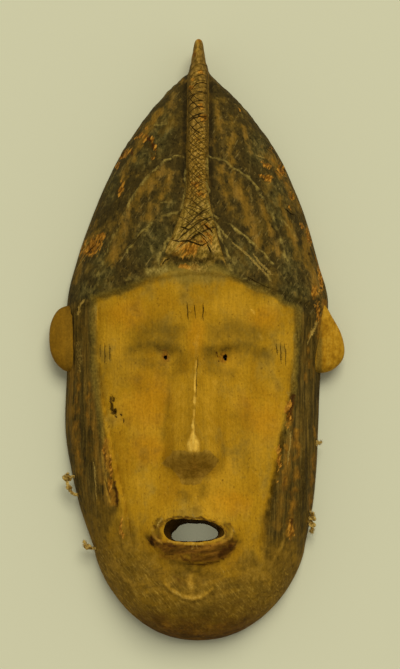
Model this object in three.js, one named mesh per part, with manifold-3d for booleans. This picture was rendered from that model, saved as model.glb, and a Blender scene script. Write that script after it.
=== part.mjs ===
// A tall carved wooden face mask with a pointed hood, lying face up on its back rim.
// Millimetres: x runs across the face, y from the chin to the crown, z out of the face.
import * as THREE from 'three';
import { mergeVertices } from 'three/addons/utils/BufferGeometryUtils.js';
import Module from 'manifold-3d';

const wasm = await Module();
wasm.setup();

// Outline of the mask: half widths left and right of its axis, from the jaw up to the crown
const axisX = curve([[150, 0.5], [205, 1.4]]);
const leftHalf = curve([
  [-150, 74.3], [-143, 77], [-121, 84.5], [-97, 90.5], [-65, 95.7], [-22, 95], [28, 95.1], [57, 89],
  [93, 77], [128, 62.2], [146, 52], [164, 40.4], [182, 25.4], [193, 13.5], [198, 9], [203, 6.4], [208, 5.3],
  [214, 3.9],
]);
const rightHalf = curve([
  [-150, 76.9], [-143, 78.4], [-121, 82.8], [-97, 85.7], [-65, 87.3], [-22, 89.7], [28, 95.4], [57, 88.6],
  [93, 78.6], [128, 64.7], [146, 54.6], [164, 41.6], [182, 25.3], [193, 13], [198, 8.8], [203, 6.2], [208, 5.2],
  [214, 3.9],
]);
const chin = { start: -150, end: -216, widthPower: 1.42, widthRoot: 2.15, heightPower: 2.4, heightRoot: 1.7 };
const finial = { start: 214, end: 220, back: 14 };
const centreY = 2; // half way between the two ends, taken off at the last so that the origin is under the middle

// Height of the bare shell over its rim, along the middle
const frontHeight = curve([
  [-150, 66], [-130, 68], [-100, 67], [-60, 65], [-20, 64], [20, 67], [45, 71], [80, 71],
  [110, 65], [140, 56], [165, 46], [194, 33], [206, 30], [220, 26],
]);

// The hollow behind the face
const rimWall = 9;
const frontWall = 12;
const hollow = { chinEnd: -206, crownStart: 148, crownEnd: 181, mouthLift: 5, columns: 7, below: -5 };

// Carving on the front
const middleX = curve([
  [-216, 0.5], [-141, -1.8], [-88, -1.4], [-5, 0.9], [44, -2.5], [85, 0.2], [120, 0.5], [177, 0.9], [205, 1.4],
]);
const crest = { height: 9, footHeight: 3.5, footEnd: 44, flank: 1 };
const crestHalf = curve([[44, 22.9], [62, 16], [85, 9.2], [96, 7.5], [194, 7.2]]);
const brow = { middle: 38, drop: 24, step: 2.6, fadeLow: -40, fadeHigh: 160 };
const panelHalf = curve([
  [-160, 44], [-144, 46], [-115, 51.5], [-87, 58], [-63, 63], [-37, 68], [-8, 70], [30, 70],
]);
const groove = { half: 2, depth: 2, ridge: 2, ridgeAt: 5, ridgeHalf: 4, fadeLow: -165, fadeHigh: -140 };
const noseHeight = curve([
  [-105, 0], [-100, 8], [-93, 25], [-88.5, 33.5], [-80, 33], [-60, 25.5], [-40, 18], [-20, 10.5], [-5, 4], [9, 0],
]);
const noseHalf = curve([[-106, 22], [-88, 22.5], [-60, 21], [-35, 19], [-15, 14], [9, 9]]);
const noseFlank = curve([[-88, 1.05], [-20, 1.35]]);
const wings = { y: -90, reach: 13, height: 4, at: 0.62, spread: 0.4 };
const sockets = { left: -21.8, right: 19.9, y: -20, halfWidth: 17, halfHeight: 10, depth: 3.5 };
const mouth = { x: -2, y: -141, moundX: 38, moundY: 28, height: 11, holeX: -3.3, halfX: 21, halfY: 8.6, taper: 0.76 };
const lowerLip = { halfX: 34, halfY: 25, at: 0.72, spread: 0.34, rise: 4 };
const underLip = { y: -173, halfX: 24, halfY: 7, depth: 3 };
const chinLedge = { y: -168, halfX: 34, halfY: 19, rise: 2 };

// Ears, eye holes and tie holes
const earZ = { low: 6, high: 25, bevel: 5 };
const eyeHoles = [
  { x: -21.8, y: -19.8, halfX: 1.2, halfY: 1.5 },
  { x: 19.9, y: -19.8, halfX: 1.4, halfY: 2.2 },
];
const tieHoleRadius = 1.9;
const tieHoleZ = 15;
const tieHoles = { leftUpper: -100, leftMiddle: -113, leftLower: -151, rightUpper: -75, rightLower: -132 };

// Fibre cord left in the tie holes
const cordRadius = 1.3;

const wood = new THREE.MeshStandardMaterial({ color: 0x6f5216, roughness: 0.75, metalness: 0 });
const fibre = new THREE.MeshStandardMaterial({ color: 0x8f7a45, roughness: 0.95, metalness: 0 });

// Smooth curve through [position, value] pairs in rising order
function curve(points) {
  const slopes = points.map((_, i) => {
    const before = points[Math.max(i - 1, 0)];
    const after = points[Math.min(i + 1, points.length - 1)];
    return (after[1] - before[1]) / (after[0] - before[0]);
  });
  return (at) => {
    if (at <= points[0][0]) return points[0][1];
    const i = points.findIndex((point) => point[0] >= at);
    if (i < 0) return points[points.length - 1][1];
    const span = points[i][0] - points[i - 1][0];
    const t = (at - points[i - 1][0]) / span;
    const rise = points[i - 1][1] * (1 + 2 * t) * (1 - t) ** 2 + points[i][1] * t * t * (3 - 2 * t);
    return rise + span * (slopes[i - 1] * t * (1 - t) ** 2 - slopes[i] * t * t * (1 - t));
  };
}

const mix = THREE.MathUtils.lerp;
const fade = THREE.MathUtils.smoothstep;

// Share that is left of a quarter-round end, from 1 where it starts to 0 at its tip
function roundEnd(y, start, end, power, root) {
  const along = THREE.MathUtils.clamp((y - start) / (end - start), 0, 1);
  return (1 - along ** power) ** (1 / root);
}

function halfWidth(side, y) {
  const half = side < 0 ? leftHalf(y) : rightHalf(y);
  const atChin = roundEnd(y, chin.start, chin.end, chin.widthPower, chin.widthRoot);
  return half * atChin * roundEnd(y, finial.start, finial.end, 2, 2);
}

// Height of the back of the mask: flat on the ground, rising only under the finial
function backHeight(y) {
  return finial.back * fade(y, 198, finial.end);
}

// Bare shell: height at a share of the half width, 0 at the middle and 1 at the rim
function shellHeight(share, y, top) {
  const bow = mix(3, 2.1, fade(y, 10, 70));
  const round = mix(1.8, 1.6, fade(y, 10, 70));
  return top * Math.max(1 - share ** bow, 0) ** (1 / round);
}

function crestRise(x, y) {
  const across = Math.abs(x - middleX(y));
  const half = y > 199 ? 20 : crestHalf(y);
  const tall = mix(crest.footHeight, crest.height, fade(y, crest.footEnd, 96)) * fade(y, crest.footEnd - 2, crest.footEnd);
  return tall * (1 - fade(across, half - crest.flank, half + crest.flank));
}

function browLine(share) {
  return brow.middle - brow.drop * share ** 1.5;
}

// The hood and the side bands frame the face panel: a step at the brow, a groove and a ridge at the sides
function frameRise(x, y, share) {
  const outward = Math.abs(x) - panelHalf(y);
  const sides = fade(y, groove.fadeLow, groove.fadeHigh) * (1 - fade(y, browLine(share) - 8, browLine(share)));
  const hood = fade(y, browLine(share) - 1.3, browLine(share) + 1.3);
  const cut = Math.max(1 - Math.abs(outward) / groove.half, 0) * groove.depth;
  const ridge = Math.max(1 - Math.abs(outward - groove.ridgeAt) / groove.ridgeHalf, 0) * groove.ridge;
  return brow.step * Math.max(hood, fade(outward, -1, 1) * 0.5 * sides) + (ridge - cut) * sides;
}

function noseRise(x, y) {
  const across = Math.abs(x - middleX(y)) / noseHalf(y);
  const wing = wings.height * roundHill(across - wings.at, y - wings.y, wings.spread, wings.reach);
  return noseHeight(y) * Math.max(1 - across, 0) ** noseFlank(y) + wing;
}

// A smooth hill of height 1 that ends at the given reach each way
function roundHill(x, y, reachX, reachY) {
  const out = Math.min((x / reachX) ** 2 + (y / reachY) ** 2, 1);
  return (1 - out) ** 2;
}

function mouthRise(x, y) {
  const mound = roundHill(x - mouth.x, y - mouth.y, mouth.moundX, mouth.moundY) ** 0.6 * mouth.height;
  const ring = Math.hypot((x - mouth.x) / lowerLip.halfX, (y - mouth.y) / lowerLip.halfY);
  const lip = lowerLip.rise * roundHill(ring - lowerLip.at, 0, lowerLip.spread, 1) * fade(mouth.y - y, -6, 5);
  const dip = roundHill(x - mouth.x, y - underLip.y, underLip.halfX, underLip.halfY) * underLip.depth;
  const out = Math.hypot((x - mouth.x) / chinLedge.halfX, (y - chinLedge.y) / chinLedge.halfY);
  const ledge = chinLedge.rise * fade(out, 0.95, 1.1) * (1 - fade(y, -186, -168));
  return mound + lip - dip + ledge * (1 - fade(Math.abs(x), 30, 50));
}

function socketDip(x, y) {
  const left = roundHill(x - sockets.left, y - sockets.y, sockets.halfWidth, sockets.halfHeight);
  const right = roundHill(x - sockets.right, y - sockets.y, sockets.halfWidth, sockets.halfHeight);
  return sockets.depth * (left + right);
}

function frontPoint(x, y) {
  const side = Math.sign(x - axisX(y));
  const share = Math.min(Math.abs(x - axisX(y)) / Math.max(halfWidth(side, y), 1e-6), 1);
  const low = backHeight(y);
  const top = frontHeight(y) * roundEnd(y, chin.start, chin.end, chin.heightPower, chin.heightRoot);
  const tipEnd = roundEnd(y, finial.start, finial.end, 2.5, 2);
  const bare = low + shellHeight(share, y, (top - low) * tipEnd);
  const carving = crestRise(x, y) * tipEnd + noseRise(x, y) + mouthRise(x, y) - socketDip(x, y)
    + frameRise(x, y, share) * fade(y, -200, -170) * (1 - fade(y, 180, 200));
  return new THREE.Vector3(x, y, bare + carving * (1 - share ** 12));
}

// Distance from the carving's middle line to the rim
function rimDistance(side, y) {
  return halfWidth(side, y) + side * (axisX(y) - middleX(y));
}

// Distances from the middle line at which a row of the front has its points, out to the rim
function columnPlaces(side, y) {
  const rim = rimDistance(side, y);
  const onCrest = fade(y, 30, 44);
  const foot = mix(noseHalf(y), crestHalf(y) + crest.flank, onCrest);
  const edge = y > 199 ? rim * 0.8 : Math.min(foot, rim * 0.86);
  const inner = edge - mix(noseHalf(y) * 0.6, 2 * crest.flank, onCrest);
  const face = fade(y, -168, -140) * (1 - fade(y, 45, 75));
  const border = panelHalf(y) - side * middleX(y);
  const outward = [-groove.half, 0, groove.half, groove.ridgeAt, groove.ridgeAt + groove.ridgeHalf];
  const plain = [0.55, 0.6, 0.65, 0.72, 0.79];
  const banded = outward.map((out, i) => mix(mix(edge, rim, plain[i]), border + out, face));
  const cheek = [0.35, 0.7].map((share) => mix(edge, banded[0], share));
  const wall = [0.45, 0.75, 0.93, 1].map((share) => mix(banded[4], rim, share));
  return [Math.max(inner, edge * 0.4), edge, ...cheek, ...banded, ...wall];
}

// Rows lie along the brow's curve near it, and straight across elsewhere
function bentRow(y, share) {
  const near = y > brow.middle ? 1 - fade(y, brow.middle, brow.fadeHigh) : fade(y, brow.fadeLow, brow.middle);
  return y - brow.drop * share ** 1.5 * near;
}

function halfRow(side, y) {
  const rim = Math.max(rimDistance(side, y), 1e-6);
  return columnPlaces(side, y).map((distance, k) => {
    const atY = bentRow(y, distance / rim);
    return frontPoint(middleX(atY) + side * columnPlaces(side, atY)[k], atY);
  });
}

function frontRow(y) {
  return [...halfRow(-1, y).reverse(), frontPoint(middleX(y), y), ...halfRow(1, y)];
}

function hollowRow(y) {
  const end = roundEnd(y, chin.start, hollow.chinEnd, chin.widthPower, chin.widthRoot)
    * roundEnd(y, hollow.crownStart, hollow.crownEnd, 2, 2);
  const top = (frontHeight(y) - frontWall) * end ** 0.8;
  const lift = roundHill(0, y - mouth.y, 1, mouth.moundY) * hollow.mouthLift;
  const row = [];
  for (let i = -hollow.columns; i <= hollow.columns; i++) {
    const share = Math.sin(Math.abs(i / hollow.columns) * Math.PI / 2) ** 0.8;
    const reach = ((i < 0 ? leftHalf(y) : rightHalf(y)) - rimWall) * end;
    const z = shellHeight(share, y, top) + lift * roundHill(share, 0, 0.6, 1);
    row.push(new THREE.Vector3(axisX(y) + Math.sign(i) * share * reach, y, z));
  }
  return [row[0].clone().setZ(hollow.below), ...row, row.at(-1).clone().setZ(hollow.below)];
}

// Closed solid through a list of rings, each a closed loop with the same number of points
function skin(rings) {
  const count = rings[0].length;
  const indices = [];
  for (let i = 0; i + 1 < rings.length; i++) {
    for (let j = 0; j < count; j++) {
      const a = i * count + j;
      const b = i * count + ((j + 1) % count);
      indices.push(a, b, b + count, a, b + count, a + count);
    }
  }
  const last = (rings.length - 1) * count;
  for (let j = 1; j + 1 < count; j++) indices.push(0, j + 1, j, last, last + j, last + j + 1);
  const geometry = new THREE.BufferGeometry();
  geometry.setAttribute('position', new THREE.Float32BufferAttribute(rings.flat().flatMap((p) => p.toArray()), 3));
  geometry.setIndex(indices);
  return solid(geometry);
}

// Solid for cutting and joining, from a closed geometry with its shared vertices merged
function solid(geometry) {
  const bare = geometry.clone();
  bare.deleteAttribute('normal');
  bare.deleteAttribute('uv');
  const merged = mergeVertices(bare, 1e-3);
  const points = merged.attributes.position;
  const corners = [0, 1, 2].map(() => new THREE.Vector3());
  const triangles = [];
  let volume = 0;
  for (let i = 0; i < merged.index.count; i += 3) {
    const [a, b, c] = [0, 1, 2].map((k) => merged.index.getX(i + k));
    if (a === b || b === c || c === a) continue;
    triangles.push([a, b, c]);
    corners.forEach((corner, k) => corner.fromBufferAttribute(points, [a, b, c][k]));
    volume += corners[0].dot(corners[1].cross(corners[2]));
  }
  const facing = volume < 0 ? triangles.map(([a, b, c]) => [a, c, b]) : triangles;
  return new wasm.Manifold(new wasm.Mesh({
    numProp: 3,
    vertProperties: new Float32Array(points.array),
    triVerts: new Uint32Array(facing.flat()),
  }));
}

function meshOf(made, name, material) {
  const { vertProperties, triVerts } = made.getMesh();
  const geometry = new THREE.BufferGeometry();
  geometry.setAttribute('position', new THREE.BufferAttribute(new Float32Array(vertProperties), 3));
  geometry.setIndex(new THREE.BufferAttribute(new Uint32Array(triVerts), 1));
  geometry.translate(0, -centreY, 0);
  geometry.computeVertexNormals();
  const mesh = new THREE.Mesh(geometry, material);
  mesh.name = name;
  return mesh;
}

function shellSolid() {
  const tip = [220, 219.7, 219, 217.5, 215.5, 213, 209, 205, 201.5, 199.2];
  const hood = [196.5, 192, 184, 172, 160, 148, 136, 124, 112, 102, 94, 86, 78, 70, 62, 54, 48, 44.5, 42];
  const face = [39.4, 36.6, 30, 20, 10, 2, -7, -14, -20, -26, -34, -45, -57, -69, -79, -85, -88.5];
  const lips = [-92, -97, -102, -106, -112, -119, -126, -132, -137, -142, -147, -153, -159, -164];
  const jaw = [-169, -174, -179, -184, -189, -194, -199, -203.5, -207, -210, -212.5, -214.5, -215.6, -216];
  return skin([...tip, ...hood, ...face, ...lips, ...jaw].map(frontRow));
}

function hollowSolid() {
  const crown = [181, 180.4, 178.5, 175, 169, 160, 148];
  const middle = [130, 110, 90, 70, 45, 20, -10, -40, -70, -100, -118, -130, -141, -152];
  const jaw = [-165, -176, -186, -194, -200, -204, -205.5, -206];
  return skin([...crown, ...middle, ...jaw].map(hollowRow));
}

function mouthCut() {
  const ring = (z) => {
    const scale = mix(mouth.taper, 1, (z - 55) / 30);
    return Array.from({ length: 20 }, (_, i) => {
      const angle = (i / 20) * 2 * Math.PI;
      const x = Math.sign(Math.cos(angle)) * Math.abs(Math.cos(angle)) ** 0.9 * mouth.halfX * scale;
      const y = Math.sign(Math.sin(angle)) * Math.abs(Math.sin(angle)) ** 0.8 * mouth.halfY * scale;
      return new THREE.Vector3(mouth.holeX + x, mouth.y + y, z);
    });
  };
  return skin([ring(30), ring(55), ring(95)]);
}

function earSolid(shape) {
  const geometry = new THREE.ExtrudeGeometry(shape, {
    depth: earZ.high - earZ.low - 2 * earZ.bevel,
    bevelThickness: earZ.bevel,
    bevelSize: earZ.bevel,
    bevelOffset: -earZ.bevel,
    bevelSegments: 3,
    curveSegments: 5,
  });
  return solid(geometry.translate(0, 0, earZ.low + earZ.bevel));
}

// The left ear is a half-round lug and the right one a drop that is fuller below
function leftEar() {
  const shape = new THREE.Shape().moveTo(-82, -21).lineTo(-82, 21).lineTo(-93, 23);
  shape.bezierCurveTo(-103, 21, -106.5, 10, -106.5, -1).bezierCurveTo(-106.5, -12, -102, -21, -93, -23);
  return earSolid(shape);
}

function rightEar() {
  const shape = new THREE.Shape().moveTo(82, 22).lineTo(82, -26).lineTo(96, -26);
  shape.bezierCurveTo(103, -25, 107.5, -17, 106.5, -9).bezierCurveTo(105.5, 0, 98, 10, 91, 24);
  return earSolid(shape);
}

// Round cutter of the given half widths between two points
function drill(from, to, halfA, halfB) {
  const along = new THREE.Vector3().subVectors(to, from);
  const cutter = new THREE.CylinderGeometry(1, 1, along.length(), 12).scale(halfA, 1, halfB);
  cutter.applyQuaternion(new THREE.Quaternion().setFromUnitVectors(
    new THREE.Vector3(0, 1, 0),
    along.clone().normalize(),
  ));
  return solid(cutter.translate(...from.clone().add(to).multiplyScalar(0.5).toArray()));
}

function tieDrill(side, y) {
  const reach = axisX(y) + side * halfWidth(side, y);
  const from = new THREE.Vector3(reach - side * 25, y, tieHoleZ);
  return drill(from, new THREE.Vector3(reach + side * 10, y, tieHoleZ), tieHoleRadius, tieHoleRadius);
}

function maskBody() {
  const cuts = [
    hollowSolid(),
    mouthCut(),
    ...eyeHoles.map((eye) => drill(
      new THREE.Vector3(eye.x, eye.y, 40),
      new THREE.Vector3(eye.x, eye.y, 80),
      eye.halfX,
      eye.halfY,
    )),
    tieDrill(-1, tieHoles.leftUpper),
    tieDrill(-1, tieHoles.leftMiddle),
    tieDrill(-1, tieHoles.leftLower),
    tieDrill(1, tieHoles.rightUpper),
    tieDrill(1, tieHoles.rightLower),
  ];
  const whole = shellSolid().add(leftEar()).add(rightEar());
  return cuts.reduce((body, cut) => body.subtract(cut), whole);
}

// Round strand of cord through [x, y, z] points
function strand(points) {
  const path = new THREE.CatmullRomCurve3(points.map((point) => new THREE.Vector3(...point)));
  const steps = points.length * 2;
  const frames = path.computeFrenetFrames(steps, false);
  const rings = Array.from({ length: steps + 1 }, (_, i) => {
    const centre = path.getPointAt(i / steps);
    return Array.from({ length: 8 }, (_, j) => {
      const angle = (j / 8) * 2 * Math.PI;
      return centre.clone()
        .addScaledVector(frames.normals[i], Math.cos(angle) * cordRadius)
        .addScaledVector(frames.binormals[i], Math.sin(angle) * cordRadius);
    });
  });
  return skin(rings);
}

function knot([x, y, z], [halfX, halfY, halfZ]) {
  return solid(new THREE.SphereGeometry(1, 10, 6).scale(halfX, halfY, halfZ).translate(x, y, z));
}

function cordRemnant(name, points, knots) {
  const whole = knots.reduce((cord, [centre, halves]) => cord.add(knot(centre, halves)), strand(points));
  return meshOf(whole, name, fibre);
}

const mask = new THREE.Group();
mask.add(meshOf(maskBody(), 'mask_body', wood));
mask.add(cordRemnant(
  'cord_remnant_left_upper',
  [
    [-67, -98, 17], [-72, -99.5, 15.5], [-78, -100, 15], [-88, -100, 15], [-93, -101.5, 16.5],
    [-94.5, -106, 16.5], [-92, -111.5, 15.5], [-87, -113, 15], [-76, -113, 15], [-69, -112, 15.5],
  ],
  [[[-93, -100.5, 16.5], [3.4, 2.8, 2.8]], [[-70.5, -99, 16], [2.8, 3, 3]], [[-69.3, -112, 15.4], [2.4, 2.6, 2.6]]],
));
mask.add(cordRemnant(
  'cord_remnant_left_lower',
  [[-54, -149, 17], [-58, -150.5, 15.5], [-64, -151, 15], [-74, -151, 15], [-78, -149.5, 16], [-80.5, -147, 18]],
  [[[-77.4, -150.2, 15.8], [3, 2.4, 2.4]], [[-56.8, -150.2, 15.8], [2.6, 2.8, 2.8]]],
));
mask.add(cordRemnant(
  'cord_remnant_right_upper',
  [[66, -74, 17], [71, -75, 15.3], [77, -75, 15], [87.6, -75, 15]],
  [[[87.4, -75.5, 15.2], [1.6, 2.2, 1.9]], [[70.5, -74.9, 15.4], [2.6, 2.8, 2.8]]],
));
mask.add(cordRemnant(
  'cord_remnant_right_lower',
  [[61, -131, 17], [65, -132, 15.4], [71, -132, 15], [80, -132, 15], [82.6, -134, 15], [82, -138.5, 14.5]],
  [[[82.8, -130.5, 15.5], [2.2, 5, 2.4]], [[64.8, -131.9, 15.5], [2.6, 2.8, 2.8]]],
));

export default mask;
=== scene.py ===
import math

import bmesh
import bpy
import numpy as np
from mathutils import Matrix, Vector, noise


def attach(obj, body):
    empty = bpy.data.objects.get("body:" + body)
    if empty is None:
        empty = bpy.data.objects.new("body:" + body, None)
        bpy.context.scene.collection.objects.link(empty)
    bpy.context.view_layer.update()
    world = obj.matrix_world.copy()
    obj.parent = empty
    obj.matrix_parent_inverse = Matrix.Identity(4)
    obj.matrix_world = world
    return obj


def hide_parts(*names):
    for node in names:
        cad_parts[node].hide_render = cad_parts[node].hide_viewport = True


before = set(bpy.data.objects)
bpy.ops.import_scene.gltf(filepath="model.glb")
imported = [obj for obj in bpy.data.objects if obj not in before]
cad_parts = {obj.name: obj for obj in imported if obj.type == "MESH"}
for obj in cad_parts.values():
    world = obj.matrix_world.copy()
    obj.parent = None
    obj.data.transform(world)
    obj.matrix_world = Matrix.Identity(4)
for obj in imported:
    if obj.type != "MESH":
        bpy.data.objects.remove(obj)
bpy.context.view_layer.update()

# A carved wooden face mask that lies face up on its back rim. The shapes below are in millimetres,
# x across the face, y from the chin to the crown, z out of the face, and meshes are made in metres.
metre = 0.001
mergeWithin = 2e-6     # points closer than this many metres are one
chance = np.random.default_rng(11)


# Tools for shaping

def curve(points):
    # smooth curve through (position, value) pairs in rising order
    at, value = np.array(points, float).T
    order = np.arange(len(at))
    before = np.maximum(order - 1, 0)
    after = np.minimum(order + 1, len(at) - 1)
    slope = (value[after] - value[before]) / (at[after] - at[before])

    def valueAt(place):
        place = np.clip(place, at[0], at[-1])
        i = np.clip(np.searchsorted(at, place), 1, len(at) - 1)
        span = at[i] - at[i - 1]
        t = (place - at[i - 1]) / span
        rise = value[i - 1] * (1 + 2 * t) * (1 - t) ** 2 + value[i] * t * t * (3 - 2 * t)
        return rise + span * (slope[i - 1] * t * (1 - t) ** 2 - slope[i] * t * t * (1 - t))

    return valueAt


def fade(value, start, end):
    t = np.clip((value - start) / (end - start), 0, 1)
    return t * t * (3 - 2 * t)


def mix(a, b, share):
    return a + (b - a) * share


def hill(x, y, reachX, reachY):
    # smooth hill of height 1 that ends at the given reach each way
    out = np.minimum((x / reachX) ** 2 + (y / reachY) ** 2, 1)
    return (1 - out) ** 2


def bell(away, half):
    return np.exp(-(away / half) ** 2)


def rough(x, y, sizeX, sizeY, seed):
    # smooth noise from about -1 to 1 with features of the given sizes
    spots = np.stack([np.ravel(x) / sizeX, np.ravel(y) / sizeY, np.full(np.size(x), seed * 7.3)], 1)
    return np.array([noise.noise(spot) for spot in spots.tolist()]).reshape(np.shape(x)) * 1.6


def nearLine(x, y, points):
    # distance to a line through the points
    x = np.asarray(x, float)
    points = np.array(points, float)
    nearest = np.full(x.shape, 1e9)
    for (ax, ay), (bx, by) in zip(points[:-1], points[1:]):
        runX = bx - ax
        runY = by - ay
        t = np.clip(((x - ax) * runX + (y - ay) * runY) / (runX ** 2 + runY ** 2), 0, 1)
        nearest = np.minimum(nearest, np.hypot(x - ax - t * runX, y - ay - t * runY))
    return nearest


def loopThrough(points, count):
    # closed smooth line through the points
    points = np.array(points, float)
    t = np.linspace(0, len(points), count, endpoint=False)
    i = t.astype(int)
    f = (t - i)[:, None]
    a, b, c, d = [points[(i + k) % len(points)] for k in (-1, 0, 1, 2)]
    bend = (2 * a - 5 * b + 4 * c - d) * f ** 2
    return 0.5 * (2 * b + (c - a) * f + bend + (3 * b - a - 3 * c + d) * f ** 3)


def lineThrough(points, perSpan=4):
    # open smooth line through the points
    points = np.array(points, float)
    if len(points) < 3:
        return points
    first = 2 * points[0] - points[1]
    last = 2 * points[-1] - points[-2]
    closed = loopThrough([first, *points, last], (len(points) + 2) * perSpan)
    return closed[perSpan:len(points) * perSpan + 1]


# The mask's outline and bare shell, as in the solid model

shell = {
    "left": [(-150, 74.3), (-143, 77), (-121, 84.5), (-97, 90.5), (-65, 95.7), (-22, 95), (28, 95.1),
             (57, 89), (93, 77), (128, 62.2), (146, 52), (164, 40.4), (182, 25.4), (193, 13.5), (198, 9),
             (203, 6.4), (208, 5.3), (214, 3.9)],
    "right": [(-150, 76.9), (-143, 78.4), (-121, 82.8), (-97, 85.7), (-65, 87.3), (-22, 89.7), (28, 95.4),
              (57, 88.6), (93, 78.6), (128, 64.7), (146, 54.6), (164, 41.6), (182, 25.3), (193, 13),
              (198, 8.8), (203, 6.2), (208, 5.2), (214, 3.9)],
    "axis": [(150, 0.5), (205, 1.4)],
    "height": [(-150, 66), (-130, 68), (-100, 67), (-60, 65), (-20, 64), (20, 67), (45, 71), (80, 71),
               (110, 65), (140, 56), (165, 46), (194, 33), (206, 30), (220, 26)],
    "chinStart": -150, "chinEnd": -216,
    "finialStart": 214, "finialEnd": 220, "finialBack": 14,
    "centreY": 2,          # half way between the ends, where the finished object has its origin
    "rimEdge": 1.0,        # rounding of the rim's outer edge
    "heightRoot": (2.4, 1.7), "outlineRoot": (1.42, 2.15),     # powers that round off the chin
    "centralHalf": 26, "centralColumns": 32, "sideColumns": 58, "sectionSteps": 400,
    "rows": [(214, 45, 1.25), (45, -84, 1.5), (-84, -108, 0.9), (-108, -150, 1.15)],     # from, to, spacing
    "finialRows": 13, "chinRows": 70, "sharpAngle": 55,
}
leftHalf = curve(shell["left"])
rightHalf = curve(shell["right"])
axisX = curve(shell["axis"])
frontHeight = curve(shell["height"])


def roundEnd(y, start, end, power, root):
    along = np.clip((y - start) / (end - start), 0, 1)
    return (1 - along ** power) ** (1 / root)


def halfWidth(side, y):
    half = np.where(side < 0, leftHalf(y), rightHalf(y))
    atChin = roundEnd(y, shell["chinStart"], shell["chinEnd"], *shell["outlineRoot"])
    return half * atChin * roundEnd(y, shell["finialStart"], shell["finialEnd"], 2, 2)


def backHeight(y):
    return shell["finialBack"] * fade(y, 198, shell["finialEnd"])


def shellHeight(share, y, top):
    bow = mix(3, 2.1, fade(y, 10, 70))
    root = mix(1.8, 1.6, fade(y, 10, 70))
    return top * np.maximum(1 - share ** bow, 0) ** (1 / root)


def topHeight(y):
    return frontHeight(y) * roundEnd(y, shell["chinStart"], shell["chinEnd"], *shell["heightRoot"])


def rimShare(x, y):
    side = np.sign(x - axisX(y))
    return np.minimum(np.abs(x - axisX(y)) / np.maximum(halfWidth(side, y), 1e-6), 1)


# The carving on the front

carving = {
    "middle": [(-216, 0.5), (-141, -1.8), (-88, -1.4), (-5, 0.9), (44, -2.5), (85, 0.2), (120, 0.5),
               (177, 0.9), (205, 1.4)],
    "crestHeight": 9, "crestFoot": 3.5, "crestEnd": 44, "crestFlank": 1.2, "crestDome": 0.28,
    "crestHalf": [(44, 22.9), (62, 16), (85, 9.2), (96, 7.5), (194, 7.2)],
    "browMiddle": 38, "browDrop": 24, "browStep": 2.6,
    "panelHalf": [(-160, 44), (-144, 46), (-115, 51.5), (-87, 58), (-63, 63), (-37, 68), (-8, 70),
                  (30, 70)],
    "grooveHalf": 2.2, "grooveDepth": 2.2, "ridgeRise": 2, "ridgeAt": 5, "ridgeHalf": 4,
    "noseHeight": [(-105, 0), (-100, 8), (-93, 25), (-88.5, 33.5), (-80, 33), (-60, 25.5), (-40, 18),
                   (-20, 10.5), (-5, 4), (9, 0)],
    "noseHalf": [(-106, 22), (-88, 22.5), (-60, 21), (-35, 19), (-15, 14), (9, 9)],
    "noseFlank": [(-88, 1.05), (-20, 1.35)],
    "wingY": -90, "wingReach": 13, "wingRise": 4, "wingAt": 0.62, "wingSpread": 0.4,
    "eyes": [(-21.8, -20), (19.9, -20)], "socketHalf": (17, 10), "socketDepth": 3.5,
    "mouth": (-2, -141), "moundHalf": (38, 28), "moundRise": 11,
    "lipHalf": (34, 25), "lipAt": 0.72, "lipSpread": 0.34, "lipRise": 4,
    "underLip": (-2, -173), "underLipHalf": (24, 7), "underLipDepth": 3,
    "ledge": (-2, -168), "ledgeHalf": (34, 19), "ledgeRise": 2,
}
middleX = curve(carving["middle"])
crestHalf = curve(carving["crestHalf"])
panelHalf = curve(carving["panelHalf"])
noseHeight = curve(carving["noseHeight"])
noseHalf = curve(carving["noseHalf"])
noseFlank = curve(carving["noseFlank"])


def fromCrest(x, y):
    # distance from the crest's edge, negative on the crest
    return np.abs(x - middleX(y)) - crestHalf(y)


def crestRise(x, y):
    across = np.abs(x - middleX(y))
    half = np.where(y > 199, 20, crestHalf(y))
    end = carving["crestEnd"]
    foot = y + 1.6 * np.sin(x * 0.42) + 0.9 * np.sin(x * 1.1 + 2)
    tall = mix(carving["crestFoot"], carving["crestHeight"], fade(y, end, 96))
    tall = tall * fade(foot, end - 5, end + 7)
    flank = carving["crestFlank"]
    domed = 1 - carving["crestDome"] * np.minimum(across / half, 1) ** 2 * fade(y, 60, 95)
    return tall * domed * (1 - fade(across, half - flank, half + flank))


def browLine(share):
    return carving["browMiddle"] - carving["browDrop"] * share ** 1.5


def frameRise(x, y, share):
    # hood and side bands stand proud of the face: a step at the brow, groove and ridge at the sides
    outward = np.abs(x) - panelHalf(y)
    line = browLine(share)
    sides = fade(y, -165, -140) * (1 - fade(y, line - 8, line))
    hood = fade(y, line - 1.3, line + 1.3)
    cut = np.maximum(1 - np.abs(outward) / carving["grooveHalf"], 0) * carving["grooveDepth"]
    ridge = np.maximum(1 - np.abs(outward - carving["ridgeAt"]) / carving["ridgeHalf"], 0)
    step = np.maximum(hood, fade(outward, -1, 1) * 0.5 * sides)
    return carving["browStep"] * step + (ridge * carving["ridgeRise"] - cut) * sides


def noseRise(x, y):
    across = np.abs(x - middleX(y)) / noseHalf(y)
    wing = carving["wingRise"] * hill(across - carving["wingAt"], y - carving["wingY"],
                                      carving["wingSpread"], carving["wingReach"])
    return noseHeight(y) * np.maximum(1 - across, 0) ** noseFlank(y) + wing


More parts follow.
